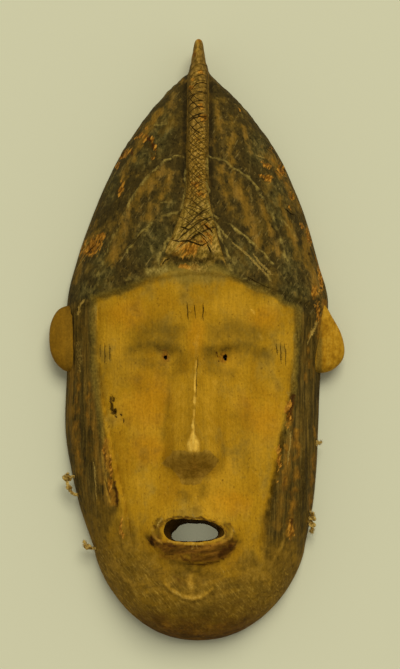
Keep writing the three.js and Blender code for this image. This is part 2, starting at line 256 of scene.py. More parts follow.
def mouthRise(x, y):
    mouthX, mouthY = carving["mouth"]
    mound = hill(x - mouthX, y - mouthY, *carving["moundHalf"]) ** 0.6 * carving["moundRise"]
    ring = np.hypot((x - mouthX) / carving["lipHalf"][0], (y - mouthY) / carving["lipHalf"][1])
    lip = carving["lipRise"] * hill(ring - carving["lipAt"], 0, carving["lipSpread"], 1)
    lip = lip * fade(mouthY - y, -6, 5)
    underX, underY = carving["underLip"]
    dip = hill(x - underX, y - underY, *carving["underLipHalf"]) * carving["underLipDepth"]
    out = np.hypot((x - carving["ledge"][0]) / carving["ledgeHalf"][0],
                   (y - carving["ledge"][1]) / carving["ledgeHalf"][1])
    ledge = carving["ledgeRise"] * fade(out, 0.95, 1.1) * (1 - fade(y, -186, -168))
    return mound + lip - dip + ledge * (1 - fade(np.abs(x), 30, 50))


def socketDip(x, y):
    dips = [hill(x - eyeX, y - eyeY, *carving["socketHalf"]) for eyeX, eyeY in carving["eyes"]]
    return carving["socketDepth"] * (dips[0] + dips[1])


def frontZ(x, y):
    share = rimShare(x, y)
    low = backHeight(y)
    tipEnd = roundEnd(y, shell["finialStart"], shell["finialEnd"], 2.5, 2)
    bare = low + shellHeight(share, y, (topHeight(y) - low) * tipEnd)
    carved = (crestRise(x, y) * tipEnd + noseRise(x, y) + mouthRise(x, y) - socketDip(x, y)
              + frameRise(x, y, share) * fade(y, -200, -170) * (1 - fade(y, 180, 200)))
    return bare + carved * (1 - share ** 12)


def frontNormal(x, y):
    step = 0.4
    slopeX = (frontZ(x + step, y) - frontZ(x - step, y)) / (2 * step)
    slopeY = (frontZ(x, y + step) - frontZ(x, y - step)) / (2 * step)
    normal = np.stack([-slopeX, -slopeY, np.ones_like(slopeX)], -1)
    return normal / np.linalg.norm(normal, axis=-1, keepdims=True)


# Tool marks and wear on the front, in millimetres along the surface's normal. Damage and chips are
# (x, y, reach across, reach along, depth).

marks = {
    "outerPetal": [
        (-72, 28), (-68, 44), (-63.5, 58), (-56.5, 73), (-52, 83), (-46.4, 94), (-40, 103),
        (-34.9, 108.7), (-28.6, 115.5), (-22.2, 120.4), (-15.9, 122.9), (-8.9, 122.6), (8.7, 122.5),
        (15.7, 121.2), (23.3, 116.9), (30.9, 112.8), (38.5, 106.8), (44.2, 100.1), (49.3, 90.6),
        (54.3, 79.2), (58.8, 67.9), (61.9, 57.7), (64.2, 44.4), (66, 34),
    ],
    "innerPetal": [
        (-56, 46), (-52.9, 50.4), (-46.6, 59), (-40.9, 65), (-34.6, 71.6), (-27.6, 77.5), (-20.7, 80.3),
        (-11, 81), (12.8, 78.3), (20.6, 74.4), (28.7, 68.4), (36.9, 61.3), (45.7, 54.2), (53.3, 45.7),
    ],
    "petalStep": 1.0, "petalEdge": 0.9,
    "lipRidge": [
        (-30, -140.6), (-28.8, -145.6), (-23.8, -149.9), (-17.7, -151.8), (-8, -151.4), (3, -151),
        (11.6, -150.6), (16.5, -149.4), (23.2, -145.7), (24.5, -140.1),
    ],
    "lipGroove": [
        (-36.4, -144), (-32.6, -150.2), (-25.2, -157.6), (-15.3, -163.1), (-8, -165.4), (4, -166),
        (16.5, -161.9), (25.8, -156.3), (30.1, -150.2), (28.8, -145.4),
    ],
    "chinArc": [(-21.6, -177), (-14.2, -183.6), (-3.1, -186.9), (4.3, -185.4), (11, -180)],
    "bandGroove": [(-66, -66), (-63.4, -80), (-60.3, -98.5), (-57, -116), (-54.5, -127.7)],
    "bandRidge": [(67, -43), (65.7, -48.3), (60.3, -84.2), (55.1, -108.9), (51, -124)],
    "damage": [
        (-59.4, -48.5, 1.8, 2.8, 2.4), (-60.4, -52.8, 1.5, 2.8, 3.0), (-58.1, -57.4, 2.8, 2.6, 3.4),
        (-53, -60.1, 1.2, 1.8, 0.9), (-51.1, -63.9, 1.0, 2.4, 0.9), (-55.7, -38.6, 1, 1.4, 0.7),
        (-55.7, -43.6, 0.9, 1.2, 0.6), (13.9, -18.2, 0.9, 1.3, 1.1), (16.8, -17.6, 0.8, 1.1, 0.9),
        (15.1, -23.6, 0.9, 1.1, 0.9), (69, 102.1, 1.3, 1.4, 1.4), (80.6, 60, 1.3, 1.5, 1.4),
    ],
    "chips": [
        (-53.5, 134, 6, 5, 1.6), (-76, 64, 11, 10, 1.5), (87, 20, 5, 10, 1.4), (61.5, 122, 5, 8, 1.4),
        (69, 102, 5, 7, 1.2), (89.5, 42, 4, 12, 1.3), (-33, 135, 4, 5, 0.9), (51, 111, 5, 4, 1.0),
        (81, 74, 4, 7, 1.2), (-36.5, 130, 5, 7, 0.7),
    ],
}
outerPetal = lineThrough(marks["outerPetal"])
innerPetal = lineThrough(marks["innerPetal"])


def petalOf(x, y, line):
    # signed distance to a petal's edge, positive inside
    xs, ys = line.T
    order = np.argsort(xs)
    return nearLine(x, y, line) * np.sign(np.interp(x, xs[order], ys[order]) - y)


def markRise(x, y):
    share = rimShare(x, y)
    hood = fade(y - browLine(share), -1, 2)
    band = fade(np.abs(x) - panelHalf(y), -1, 2) * (1 - hood) * fade(y, -178, -150)
    chin = fade(-y, 148, 172)
    crestEdge = fromCrest(x, y)
    onCrest = (1 - fade(crestEdge, -1, 1)) * fade(y, 42, 46)
    plain = 1 - onCrest
    rise = rough(x, y, 9, 14, 1) * (0.1 + 0.3 * hood + 0.3 * chin + 0.15 * band)
    rise += rough(x, y, 2.2, 30, 2) * (0.07 + 0.4 * band + 0.14 * hood + 0.1 * chin)
    rise += rough(x, y, 3.2, 2.4, 3) * (0.03 + 0.16 * hood + 0.24 * chin + 0.12 * band)
    for petal in (outerPetal, innerPetal):
        inside = petalOf(x, y, petal)
        step = fade(inside, -0.9, 0.9) * np.exp(-np.maximum(inside, 0) / 14) * marks["petalStep"]
        edge = bell(inside, 1.1) * marks["petalEdge"] * (0.8 + 0.6 * rough(x, y, 7, 7, 4))
        rise += (step + edge) * plain * hood
    groove = bell(nearLine(x, y, marks["bandGroove"]), 2.6)
    rise -= groove * (2.2 + 1.2 * rough(x, y, 1.6, 12, 5))
    ridge = bell(nearLine(x, y, marks["bandRidge"]), 3.2)
    rise += ridge * (0.5 + 0.9 * rough(x, y, 2, 7, 6))
    for spotX, spotY, reachX, reachY, depth in marks["damage"]:
        hole = hill(x - spotX, y - spotY, reachX, reachY) + 0.2 * rough(x, y, 1.8, 1.8, 7)
        rise -= depth * fade(hole, 0.25, 0.6)
    for spotX, spotY, reachX, reachY, depth in marks["chips"]:
        chip = fade(hill(x - spotX, y - spotY, reachX, reachY) + 0.25 * rough(x, y, 3, 3, 8), 0.3, 0.75)
        rise -= chip * (depth + 0.35 * rough(x, y, 1.6, 5, 20))
    mouthX, mouthY = carving["mouth"]
    upperLip = np.hypot((x - mouthX + 1.5) / 30, (y - mouthY + 4) / 12)
    rise += 1.2 * hill(upperLip - 0.95, 0, 0.15, 1) * fade(y, mouthY - 6, mouthY)
    lowerLip = hill(x - mouthX, y - mouthY + 14, 32, 14)
    rise += lowerLip * (0.8 * rough(x, y, 7, 2.2, 9))
    underLip = hill(x - mouthX, y - mouthY + 33, 24, 12)
    rise += underLip * 0.9 * rough(x, y, 5, 1.8, 10)
    ridge = bell(nearLine(x, y, lineThrough(marks["lipRidge"])), 1.5)
    rise += ridge * (1 + 0.5 * rough(x, y, 4, 2, 21))
    groove = bell(nearLine(x, y, lineThrough(marks["lipGroove"])), 1.6)
    rise -= groove * (0.9 + 0.6 * rough(x, y, 4, 3, 22))
    chinArc = nearLine(x, y, lineThrough(marks["chinArc"]))
    below = bell(chinArc - 3.4, 2.2) * fade(y + 0.03 * x * x, -181, -187)
    rise += bell(chinArc, 1.7) * 1.3 - 1.2 * below
    rise += onCrest * 0.25 * rough(x, y, 3, 4, 11)
    rise -= 0.5 * bell(crestEdge - 1.6, 1.3) * fade(y, 50, 70)
    ends = np.minimum(shell["finialEnd"] - y, y - shell["chinEnd"])
    return rise * (1 - 0.8 * fade(share, 0.97, 1)) * fade(ends, 0, 6)


# Meshes

def addObject(name, data):
    made = bpy.data.objects.new(name, data)
    bpy.context.scene.collection.objects.link(made)
    return made


def makeMesh(name, points, faces, material=None, edges=()):
    mesh = bpy.data.meshes.new(name)
    mesh.from_pydata(((np.asarray(points) - (0, shell["centreY"], 0)) * metre).tolist(), edges, faces)
    if material:
        mesh.materials.append(material)
    return addObject(name, mesh)


def skin(rings):
    # points and faces of a closed solid through rings of equal length, capped at both ends
    count = len(rings[0])
    grid = np.arange(len(rings) * count).reshape(len(rings), count)
    right = np.roll(grid, -1, axis=1)
    quads = np.stack([grid[:-1], right[:-1], right[1:], grid[1:]], -1).reshape(-1, 4)
    return np.concatenate(rings), quads.tolist() + [grid[0][::-1].tolist(), grid[-1].tolist()]


def tidyMesh(thing):
    # merges doubled points at the poles and turns the faces outwards
    shape = bmesh.new()
    shape.from_mesh(thing.data)
    bmesh.ops.remove_doubles(shape, verts=shape.verts, dist=mergeWithin)
    bmesh.ops.dissolve_degenerate(shape, edges=shape.edges, dist=mergeWithin / 10)
    bmesh.ops.recalc_face_normals(shape, faces=shape.faces)
    shape.to_mesh(thing.data)
    shape.free()
    return thing


def readNumbers(data, field, width=1, kind=float):
    numbers = np.empty(len(data) * width, kind)
    data.foreach_get(field, numbers)
    return numbers


def looseEdges(thing):
    shape = bmesh.new()
    shape.from_mesh(thing.data)
    count = sum(not edge.is_manifold for edge in shape.edges)
    shape.free()
    return count


def applyChange(thing):
    # puts what the object's modifier makes in place of its mesh, and takes the modifier off
    made = bpy.data.meshes.new_from_object(thing.evaluated_get(bpy.context.evaluated_depsgraph_get()))
    thing.modifiers.clear()
    thing.data = made


def combine(body, tool, operation="DIFFERENCE"):
    # joins or cuts with a closed tool, keeping the tool's material on the new faces
    change = body.modifiers.new("change", "BOOLEAN")
    change.operation = operation
    change.solver = "MANIFOLD"
    change.material_mode = "TRANSFER"
    change.object = tool
    applyChange(body)
    bpy.data.objects.remove(tool)


def slowing(start, end, count):
    # places from start to end that lie closer and closer together
    return start + (end - start) * (1 - (1 - np.linspace(0, 1, count)) ** 2)


def rowPlaces():
    rows = [slowing(shell["finialStart"], shell["finialEnd"], shell["finialRows"])[:0:-1]]
    for start, end, step in shell["rows"]:
        rows.append(np.linspace(start, end, round((start - end) / step), endpoint=False))
    rows.append(slowing(shell["chinStart"], shell["chinEnd"], shell["chinRows"]))
    return np.concatenate(rows)


def columnPlaces(side, y):
    # distances from the middle line out to the rim: even near the middle, then even along the section
    rim = float(halfWidth(side, y) + side * (axisX(y) - middleX(y)))
    central = min(shell["centralHalf"], rim * 0.5)
    inner = np.linspace(0, central, shell["centralColumns"] + 1)
    distance = mix(central, rim, 1 - (1 - np.linspace(0, 1, shell["sectionSteps"])) ** 3)
    x = float(middleX(y)) + side * distance
    z = shellHeight(rimShare(x, y), y, topHeight(y))
    length = np.concatenate([[0], np.cumsum(np.hypot(np.diff(x), np.diff(z)))])
    even = np.linspace(0, length[-1], shell["sideColumns"] + 1)[1:]
    return np.concatenate([inner, np.interp(even, length, distance)])


def buildFront(material):
    rows = rowPlaces()
    count = shell["centralColumns"] + shell["sideColumns"]
    x = np.zeros((len(rows), 2 * count + 1))
    for i, y in enumerate(rows):
        x[i, :count] = middleX(y) - columnPlaces(-1, y)[:0:-1]
        x[i, count:] = middleX(y) + columnPlaces(1, y)
    y = np.repeat(rows[:, None], x.shape[1], axis=1)
    points = np.stack([x, y, frontZ(x, y)], -1)
    normal = np.cross(np.gradient(points, axis=1), -np.gradient(points, axis=0))
    size = np.linalg.norm(normal, axis=-1, keepdims=True)
    normal = np.where(size > 1e-6, normal / np.maximum(size, 1e-6), 0)
    points = points + normal * markRise(x, y)[..., None]
    low = backHeight(y)
    points[..., 2] = np.maximum(points[..., 2], low)
    # the rim's outer edge is rounded off
    edge = shell["rimEdge"] * (1 + 0.3 * rough(x, y, 12, 12, 12))
    height = np.clip(points[..., 2] - low, 0, edge)
    inset = edge - np.sqrt(np.maximum(edge ** 2 - (edge - height) ** 2, 0))
    flat = normal[..., :2] / np.maximum(np.linalg.norm(normal[..., :2], axis=-1, keepdims=True), 1e-6)
    flat = np.where(size > 1e-6, flat, np.stack([0 * y, np.sign(y)], -1))
    narrow = np.minimum(1, halfWidth(1, y) / 8)
    points[..., :2] -= flat * (inset * narrow)[..., None]
    return makeMesh("mask_body_carved", *skin(points), material)


ears = {
    "left": [
        (-78, -20), (-80, 0), (-79, 20), (-91, 23.5), (-100, 20.5), (-105.3, 11), (-106.5, -1),
        (-104.8, -12), (-99.5, -20.5), (-91, -24.5),
    ],
    "right": [
        (78, -23), (80, 0), (80, 21), (91, 24.8), (98.5, 14), (104.3, 2.5), (106.5, -9), (104.3, -17),
        (97, -23.4), (88, -25.2),
    ],
    "low": 6, "high": 25,
    "around": 96, "rings": 15,
}


def buildEar(name, material):
    outline = loopThrough(ears[name], ears["around"])
    centre = outline.mean(axis=0)
    turn = np.linspace(0, math.pi, ears["rings"] * 2 + 1)[1:-1]
    rings = []
    for angle in turn:
        out = math.sin(angle) ** 0.8
        x, y = (centre + (outline - centre) * out).T
        bulge = (1 - out ** 4) ** 0.4 * np.sign(math.cos(angle))
        z = mix(ears["low"], ears["high"], 0.5 + 0.5 * bulge)
        z = z + (0.25 * rough(x, y, 7, 9, 13) + 0.12 * rough(x, y, 2, 12, 14)) * abs(bulge)
        rings.append(np.stack([x, y, z], -1))
    return tidyMesh(makeMesh(name + "Ear", *skin(rings), material))


hollow = {
    "rimWall": 9, "frontWall": 12, "chinEnd": -206, "crownStart": 148, "crownEnd": 181, "mouthLift": 5,
    "columns": 72, "below": -5, "rimFlare": 1.6, "adzeMark": 0.55,
    "crownRow": 144, "chinRow": -176, "chinRoundStart": -179, "endRows": 16, "middleRows": 84,
}


def buildHollow(material):
    atCrown = slowing(hollow["crownStart"], hollow["crownEnd"], hollow["endRows"])[::-1]
    atChin = slowing(hollow["chinRoundStart"], hollow["chinEnd"], hollow["endRows"])
    middle = np.linspace(hollow["crownRow"], hollow["chinRow"], hollow["middleRows"])
    rows = np.concatenate([atCrown, middle, atChin])
    turn = np.linspace(-1, 1, hollow["columns"])
    spread = np.sign(turn) * (1 - (1 - np.abs(turn)) ** 1.5)
    rings = []
    for y in rows:
        end = roundEnd(y, shell["chinStart"], hollow["chinEnd"], *shell["outlineRoot"])
        end = end * roundEnd(y, hollow["crownStart"], hollow["crownEnd"], 2, 2)
        reach = (halfWidth(np.sign(spread), y) - hollow["rimWall"]) * end
        x = axisX(y) + spread * reach
        top = (frontHeight(y) - hollow["frontWall"]) * end ** 0.8
        lift = hill(0, y - carving["mouth"][1], 1, 28) * hollow["mouthLift"]
        z = shellHeight(np.abs(spread), y, top) + lift * hill(np.abs(spread), 0, 0.6, 1)
        level = y + 0 * x
        mark = rough(x, level, 8, 13, 15) + 0.4 * rough(x, level, 3, 5, 16)
        z = z - np.abs(mark) * hollow["adzeMark"] * fade(z, 2, 12)
        flare = hollow["rimFlare"]
        wide = flare - np.sqrt(np.maximum(flare ** 2 - np.clip(flare - z, 0, flare) ** 2, 0))
        x = x + np.sign(spread) * wide * min(end, 1)
        skirt = np.stack([[x[-1], x[0]], [y, y], [hollow["below"]] * 2], -1)
        rings.append(np.concatenate([np.stack([x, level, z], -1), skirt]))
    return tidyMesh(makeMesh("hollow", *skin(rings), material))


opening = {
    # outlines of the mouth where it opens in front and where it comes out in the hollow
    "outer": [
        (-23.4, -140.5), (-20, -134.6), (-10.4, -133.2), (1.8, -134), (12, -136.2), (18.4, -140.6),
        (17.4, -145.4), (8.5, -148.4), (-3, -149.2), (-14.5, -148.8), (-20.8, -146),
    ],
    "inner": [
        (-17, -143.2), (-13.6, -139.5), (-9.2, -136.2), (-2, -135.8), (4.3, -136.1), (10.4, -137.8),
        (14.2, -141.4), (13.6, -145.2), (8.6, -147.2), (-3, -147.9), (-14.5, -147.6),
    ],
    "innerZ": 57, "outerZ": 79, "levels": (30, 50, 57, 60, 64, 68, 72, 76, 80, 96), "around": 72,
    "eyes": [(-21.8, -19.8, 1.2, 1.5), (19.9, -19.8, 1.4, 2.2)], "eyeFrom": 30, "eyeTo": 80,
    "tieRadius": 1.9, "tieHeight": 15, "tieInward": 25, "tieOutward": 10,
    "ties": [(-1, -100), (-1, -113), (-1, -151), (1, -75), (1, -132)],
}


def buildMouthTool(material):
    inner, outer = [loopThrough(opening[name], opening["around"]) for name in ("inner", "outer")]
    rings = []
    for z in opening["levels"]:
        t = fade(z, opening["innerZ"], opening["outerZ"])
        x, y = mix(inner, outer, t).T
        inward = 0.5 * rough(x, y + 2 * z, 4, 5, 17)
        centreX = x.mean()
        centreY = y.mean()
        away = np.hypot(x - centreX, y - centreY)
        x = x + (x - centreX) / away * inward
        y = y + (y - centreY) / away * inward
        rings.append(np.stack([x, y, z + 0 * x], -1))
    return tidyMesh(makeMesh("mouthTool", *skin(rings), material))


def buildDrill(name, start, end, halfA, halfB, material):
    # slightly wobbly round tool between two points, halfA one way and halfB the other
    start = np.array(start, float)
    end = np.array(end, float)
    along = (end - start) / np.linalg.norm(end - start)
    sideways = np.array([1, 0, 0]) if abs(along[2]) > 0.5 else np.array([0, 0, 1])
    other = np.cross(along, sideways)
    angle = np.linspace(0, 2 * math.pi, 24, endpoint=False)
    wobble = 1 + 0.12 * np.sin(3 * angle + start[1])
    ring = np.outer(np.cos(angle) * wobble * halfA, sideways)
    ring = ring + np.outer(np.sin(angle) * wobble * halfB, other)
    return tidyMesh(makeMesh(name, *skin([start + ring, end + ring]), material))


# Lines cut with a knife: hatching on the crest, scars on the face, cracks and scratches

def surfaceAt(x, y):
    normal = frontNormal(x, y)
    return np.stack([x, y, frontZ(x, y)], -1) + normal * markRise(x, y)[..., None], normal


def buildCuts(name, strokes, material):
    # V-shaped tools that follow the surface, thinning out at both ends
    points = []
    faces = []
    for line, half, depth in strokes:
        line = np.array(line, float)
        length = np.concatenate([[0], np.cumsum(np.hypot(*np.diff(line, axis=0).T))])
        count = max(4, int(length[-1] / 1.5) + 2)
        at = np.linspace(0, length[-1], count)
        x = np.interp(at, length, line[:, 0])
        y = np.interp(at, length, line[:, 1])
        swing = rough(at, at * 0 + line[0, 0] * 3 + line[0, 1], 4, 1, 18) * 0.35
        run = line[-1] - line[0]
        run = run / np.hypot(*run)
        x = x - run[1] * swing
        y = y + run[0] * swing
        spot, normal = surfaceAt(x, y)
        along = np.gradient(spot, axis=0)
        sideways = np.cross(normal, along)
        sideways = sideways / np.linalg.norm(sideways, axis=1, keepdims=True)
        t = at / length[-1]
        thin = np.minimum(1, 3.4 * np.minimum(t + 0.06, 1.06 - t))
        thin = thin * (1 + 0.3 * rough(at, at * 0 + y[0], 3, 1, 19))
        deep = (depth * thin)[:, None]
        wide = (half * thin)[:, None]
        above = 0.5            # how far the tool stands out of the surface
        topHalf = wide * (deep + above) / deep
        top = spot + normal * above
        rings = np.stack([top + sideways * topHalf, top - sideways * topHalf, spot - normal * deep], 1)
        somePoints, someFaces = skin(rings)
        faces += [[corner + len(points) for corner in face] for face in someFaces]
        points += somePoints.tolist()
    return tidyMesh(makeMesh(name, points, faces, material))


def hatch(yLow, yHigh, spacing, rise, half, depth, fill, bow):
    # slanting cuts across the crest, some broken off and none quite alike
    strokes = []
    for y in np.arange(yLow, yHigh, spacing):
        y = y + chance.uniform(-0.35, 0.35) * spacing
        reach = float(crestHalf(y)) * 0.93
        start, end = sorted(chance.uniform(-1, 1, 2) * (1 - fill) * 0.8 + [-1, 1])
        start = max(start, -1)
        end = min(end, 1)
        middle = float(middleX(y))
        climb = rise * reach * chance.uniform(0.5, 1.4)
        bend = bow * reach * chance.uniform(0.3, 1.5)
        across = np.linspace(start, end, 5)
        line = [(middle + reach * t, y + climb * t + bend * (1 - t * t)) for t in across]
        strokes.append((line, half * chance.uniform(0.6, 1.4), depth * chance.uniform(0.5, 1.3)))
    return strokes


knife = {
    # cuts on the crest: from, to, spacing, rise, half width, depth, how whole each cut is, bow
    "hatching": [
        ("spiral", "softCut", (176, 196, 4.6, 0.5, 0.24, 0.35, 0.6, 0.3)),
        ("scales", "darkCut", (141, 175, 4.2, 0.6, 0.45, 0.85, 0.6, 0.5)),
        ("scalesBack", "darkCut", (144, 172, 6.5, -0.9, 0.36, 0.6, 0.0, -0.3)),
        ("fine", "softCut", (88, 140, 2.4, 0.8, 0.24, 0.33, 0.45, 0.4)),
        ("fineBack", "softCut", (88, 140, 3.2, -1.0, 0.24, 0.33, 0.5, -0.4)),
        ("flare", "darkCut", (60, 80, 7.0, 0.7, 0.42, 0.7, 0.7, 0.12)),
        ("flareMore", "softCut", (60, 88, 2.6, 0.6, 0.24, 0.33, 0.5, 0.12)),
        ("flareBack", "softCut", (64, 88, 4.2, -0.8, 0.26, 0.4, 0.6, 0.12)),
    ],
    # single lines: half width and depth
    "straight": [("scars", "softCut", 0.32, 0.7), ("cracks", "darkCut", 0.55, 1.1),
                 ("hairlines", "softCut", 0.35, 0.7), ("scratches", "bareCut", 0.5, 0.5)],
    "scars": [[(-6.8, 18.2), (-6.2, 5.8)], [(-1.5, 16.3), (-1.2, 7.4)], [(4.4, 17.7), (4.4, 5.4)],
              [(-68.2, -9.6), (-68.0, -18)], [(-65, -8.5), (-64.6, -22.5)],
              [(-61.3, -10.2), (-60.9, -21.5)], [(56, -10.4), (56.4, -17)],
              [(58.6, -8.9), (59.2, -23.5)], [(62.1, -9.3), (62.8, -24.7)]],
    "cracks": [
        [(62.9, 90.2), (66.4, 88.4), (70, 87)], [(-80, 60), (-74, 66)],
        [(-17, 60.5), (-12, 59), (-6, 59.6), (0, 57.4), (4, 56.2), (8.8, 59.8)],
        [(-11, 69.4), (-5.2, 67.6)], [(5.1, 71.8), (11.4, 65)], [(1, 66), (7, 61.5)], [(7, 57), (10, 52)],
        [(5.6, 74.6), (8.4, 73.4)], [(-24.4, 43.4), (-21.4, 46.4), (-18.8, 47.6)],
    ],
    "hairlines": [
        [(-64.6, -84), (-64.2, -104), (-60, -120)], [(42.6, 145), (48.4, 144.2)],
        [(49.1, 136), (54.6, 134.6)], [(57.4, 124), (58.8, 121.6)],
        [(1.2, -20.7), (0.3, -31.2), (-0.2, -42), (-0.6, -50)],
        [(-35.8, 68.8), (-41.5, 63), (-47.8, 57), (-52.3, 53)],
        [(-35.1, -146.5), (-31.3, -149.4), (-29, -152.7)], [(28.8, -147.8), (26, -151.4), (23, -154.6)],
        [(34.5, 35.8), (44.3, 31.6), (51.9, 28.8)], [(62, 96), (67, 90), (73, 86)],
        [(50, 149), (58, 142)],
    ],
    "scratches": [
        [(-79.4, 24), (-85.2, 15.6)], [(24.3, 60.5), (34.3, 52), (41.8, 44.7), (51.9, 33.7)],
        [(39.3, 52.4), (45, 45), (52.5, 37.8)], [(4.4, 69.8), (11.3, 63)], [(1.5, 67), (9, 60)],
        [(-14.4, 56.6), (-10.2, 60.6)], [(-15, 52), (-10.2, 56.2), (-5, 59.6)],
        [(-3, -129.8), (-1, -133)], [(87, 10), (82, 1), (79, -8)], [(43, 128), (49, 127)],
        [(5, 62), (11, 55)], [(66, -70), (63, -96)], [(-88, 50), (-80, 58)], [(-84, 62), (-78, 70)],
        [(-72, -92), (-70, -118)],
    ],
}


tagNames = ("front", "ear", "inside", "mouthWall", "softCut", "darkCut", "bareCut")
tags = {name: bpy.data.materials.new("tag_" + name) for name in tagNames}


def buildBody():
    body = tidyMesh(buildFront(tags["front"]))
    print("front", len(body.data.polygons), "faces, loose", looseEdges(body))
    for name in ("left", "right"):
        combine(body, buildEar(name, tags["ear"]), "UNION")
    combine(body, buildHollow(tags["inside"]))
    combine(body, buildMouthTool(tags["mouthWall"]))
    for i, (x, y, halfX, halfY) in enumerate(opening["eyes"]):
        start = (x, y, opening["eyeFrom"])
        end = (x, y, opening["eyeTo"])
        combine(body, buildDrill("eye" + str(i), start, end, halfX, halfY, tags["mouthWall"]))
    for side, y in opening["ties"]:
        reach = float(axisX(y) + side * halfWidth(side, y))
        start = (reach - side * opening["tieInward"], y, opening["tieHeight"])
        end = (reach + side * opening["tieOutward"], y, opening["tieHeight"])
        radius = opening["tieRadius"]
        combine(body, buildDrill("tie", start, end, radius, radius, tags["inside"]))
    print("openings", len(body.data.polygons), "faces, loose", looseEdges(body))
    groups = [(name, hatch(*cuts), tag) for name, tag, cuts in knife["hatching"]]
    for name, tag, half, depth in knife["straight"]:
        groups.append((name, [(line, half, depth) for line in knife[name]], tag))
    for name, strokes, tag in groups:
        combine(body, buildCuts(name, strokes, tags[tag]))
    print("cuts", len(body.data.polygons), "faces, loose", looseEdges(body))
    return body
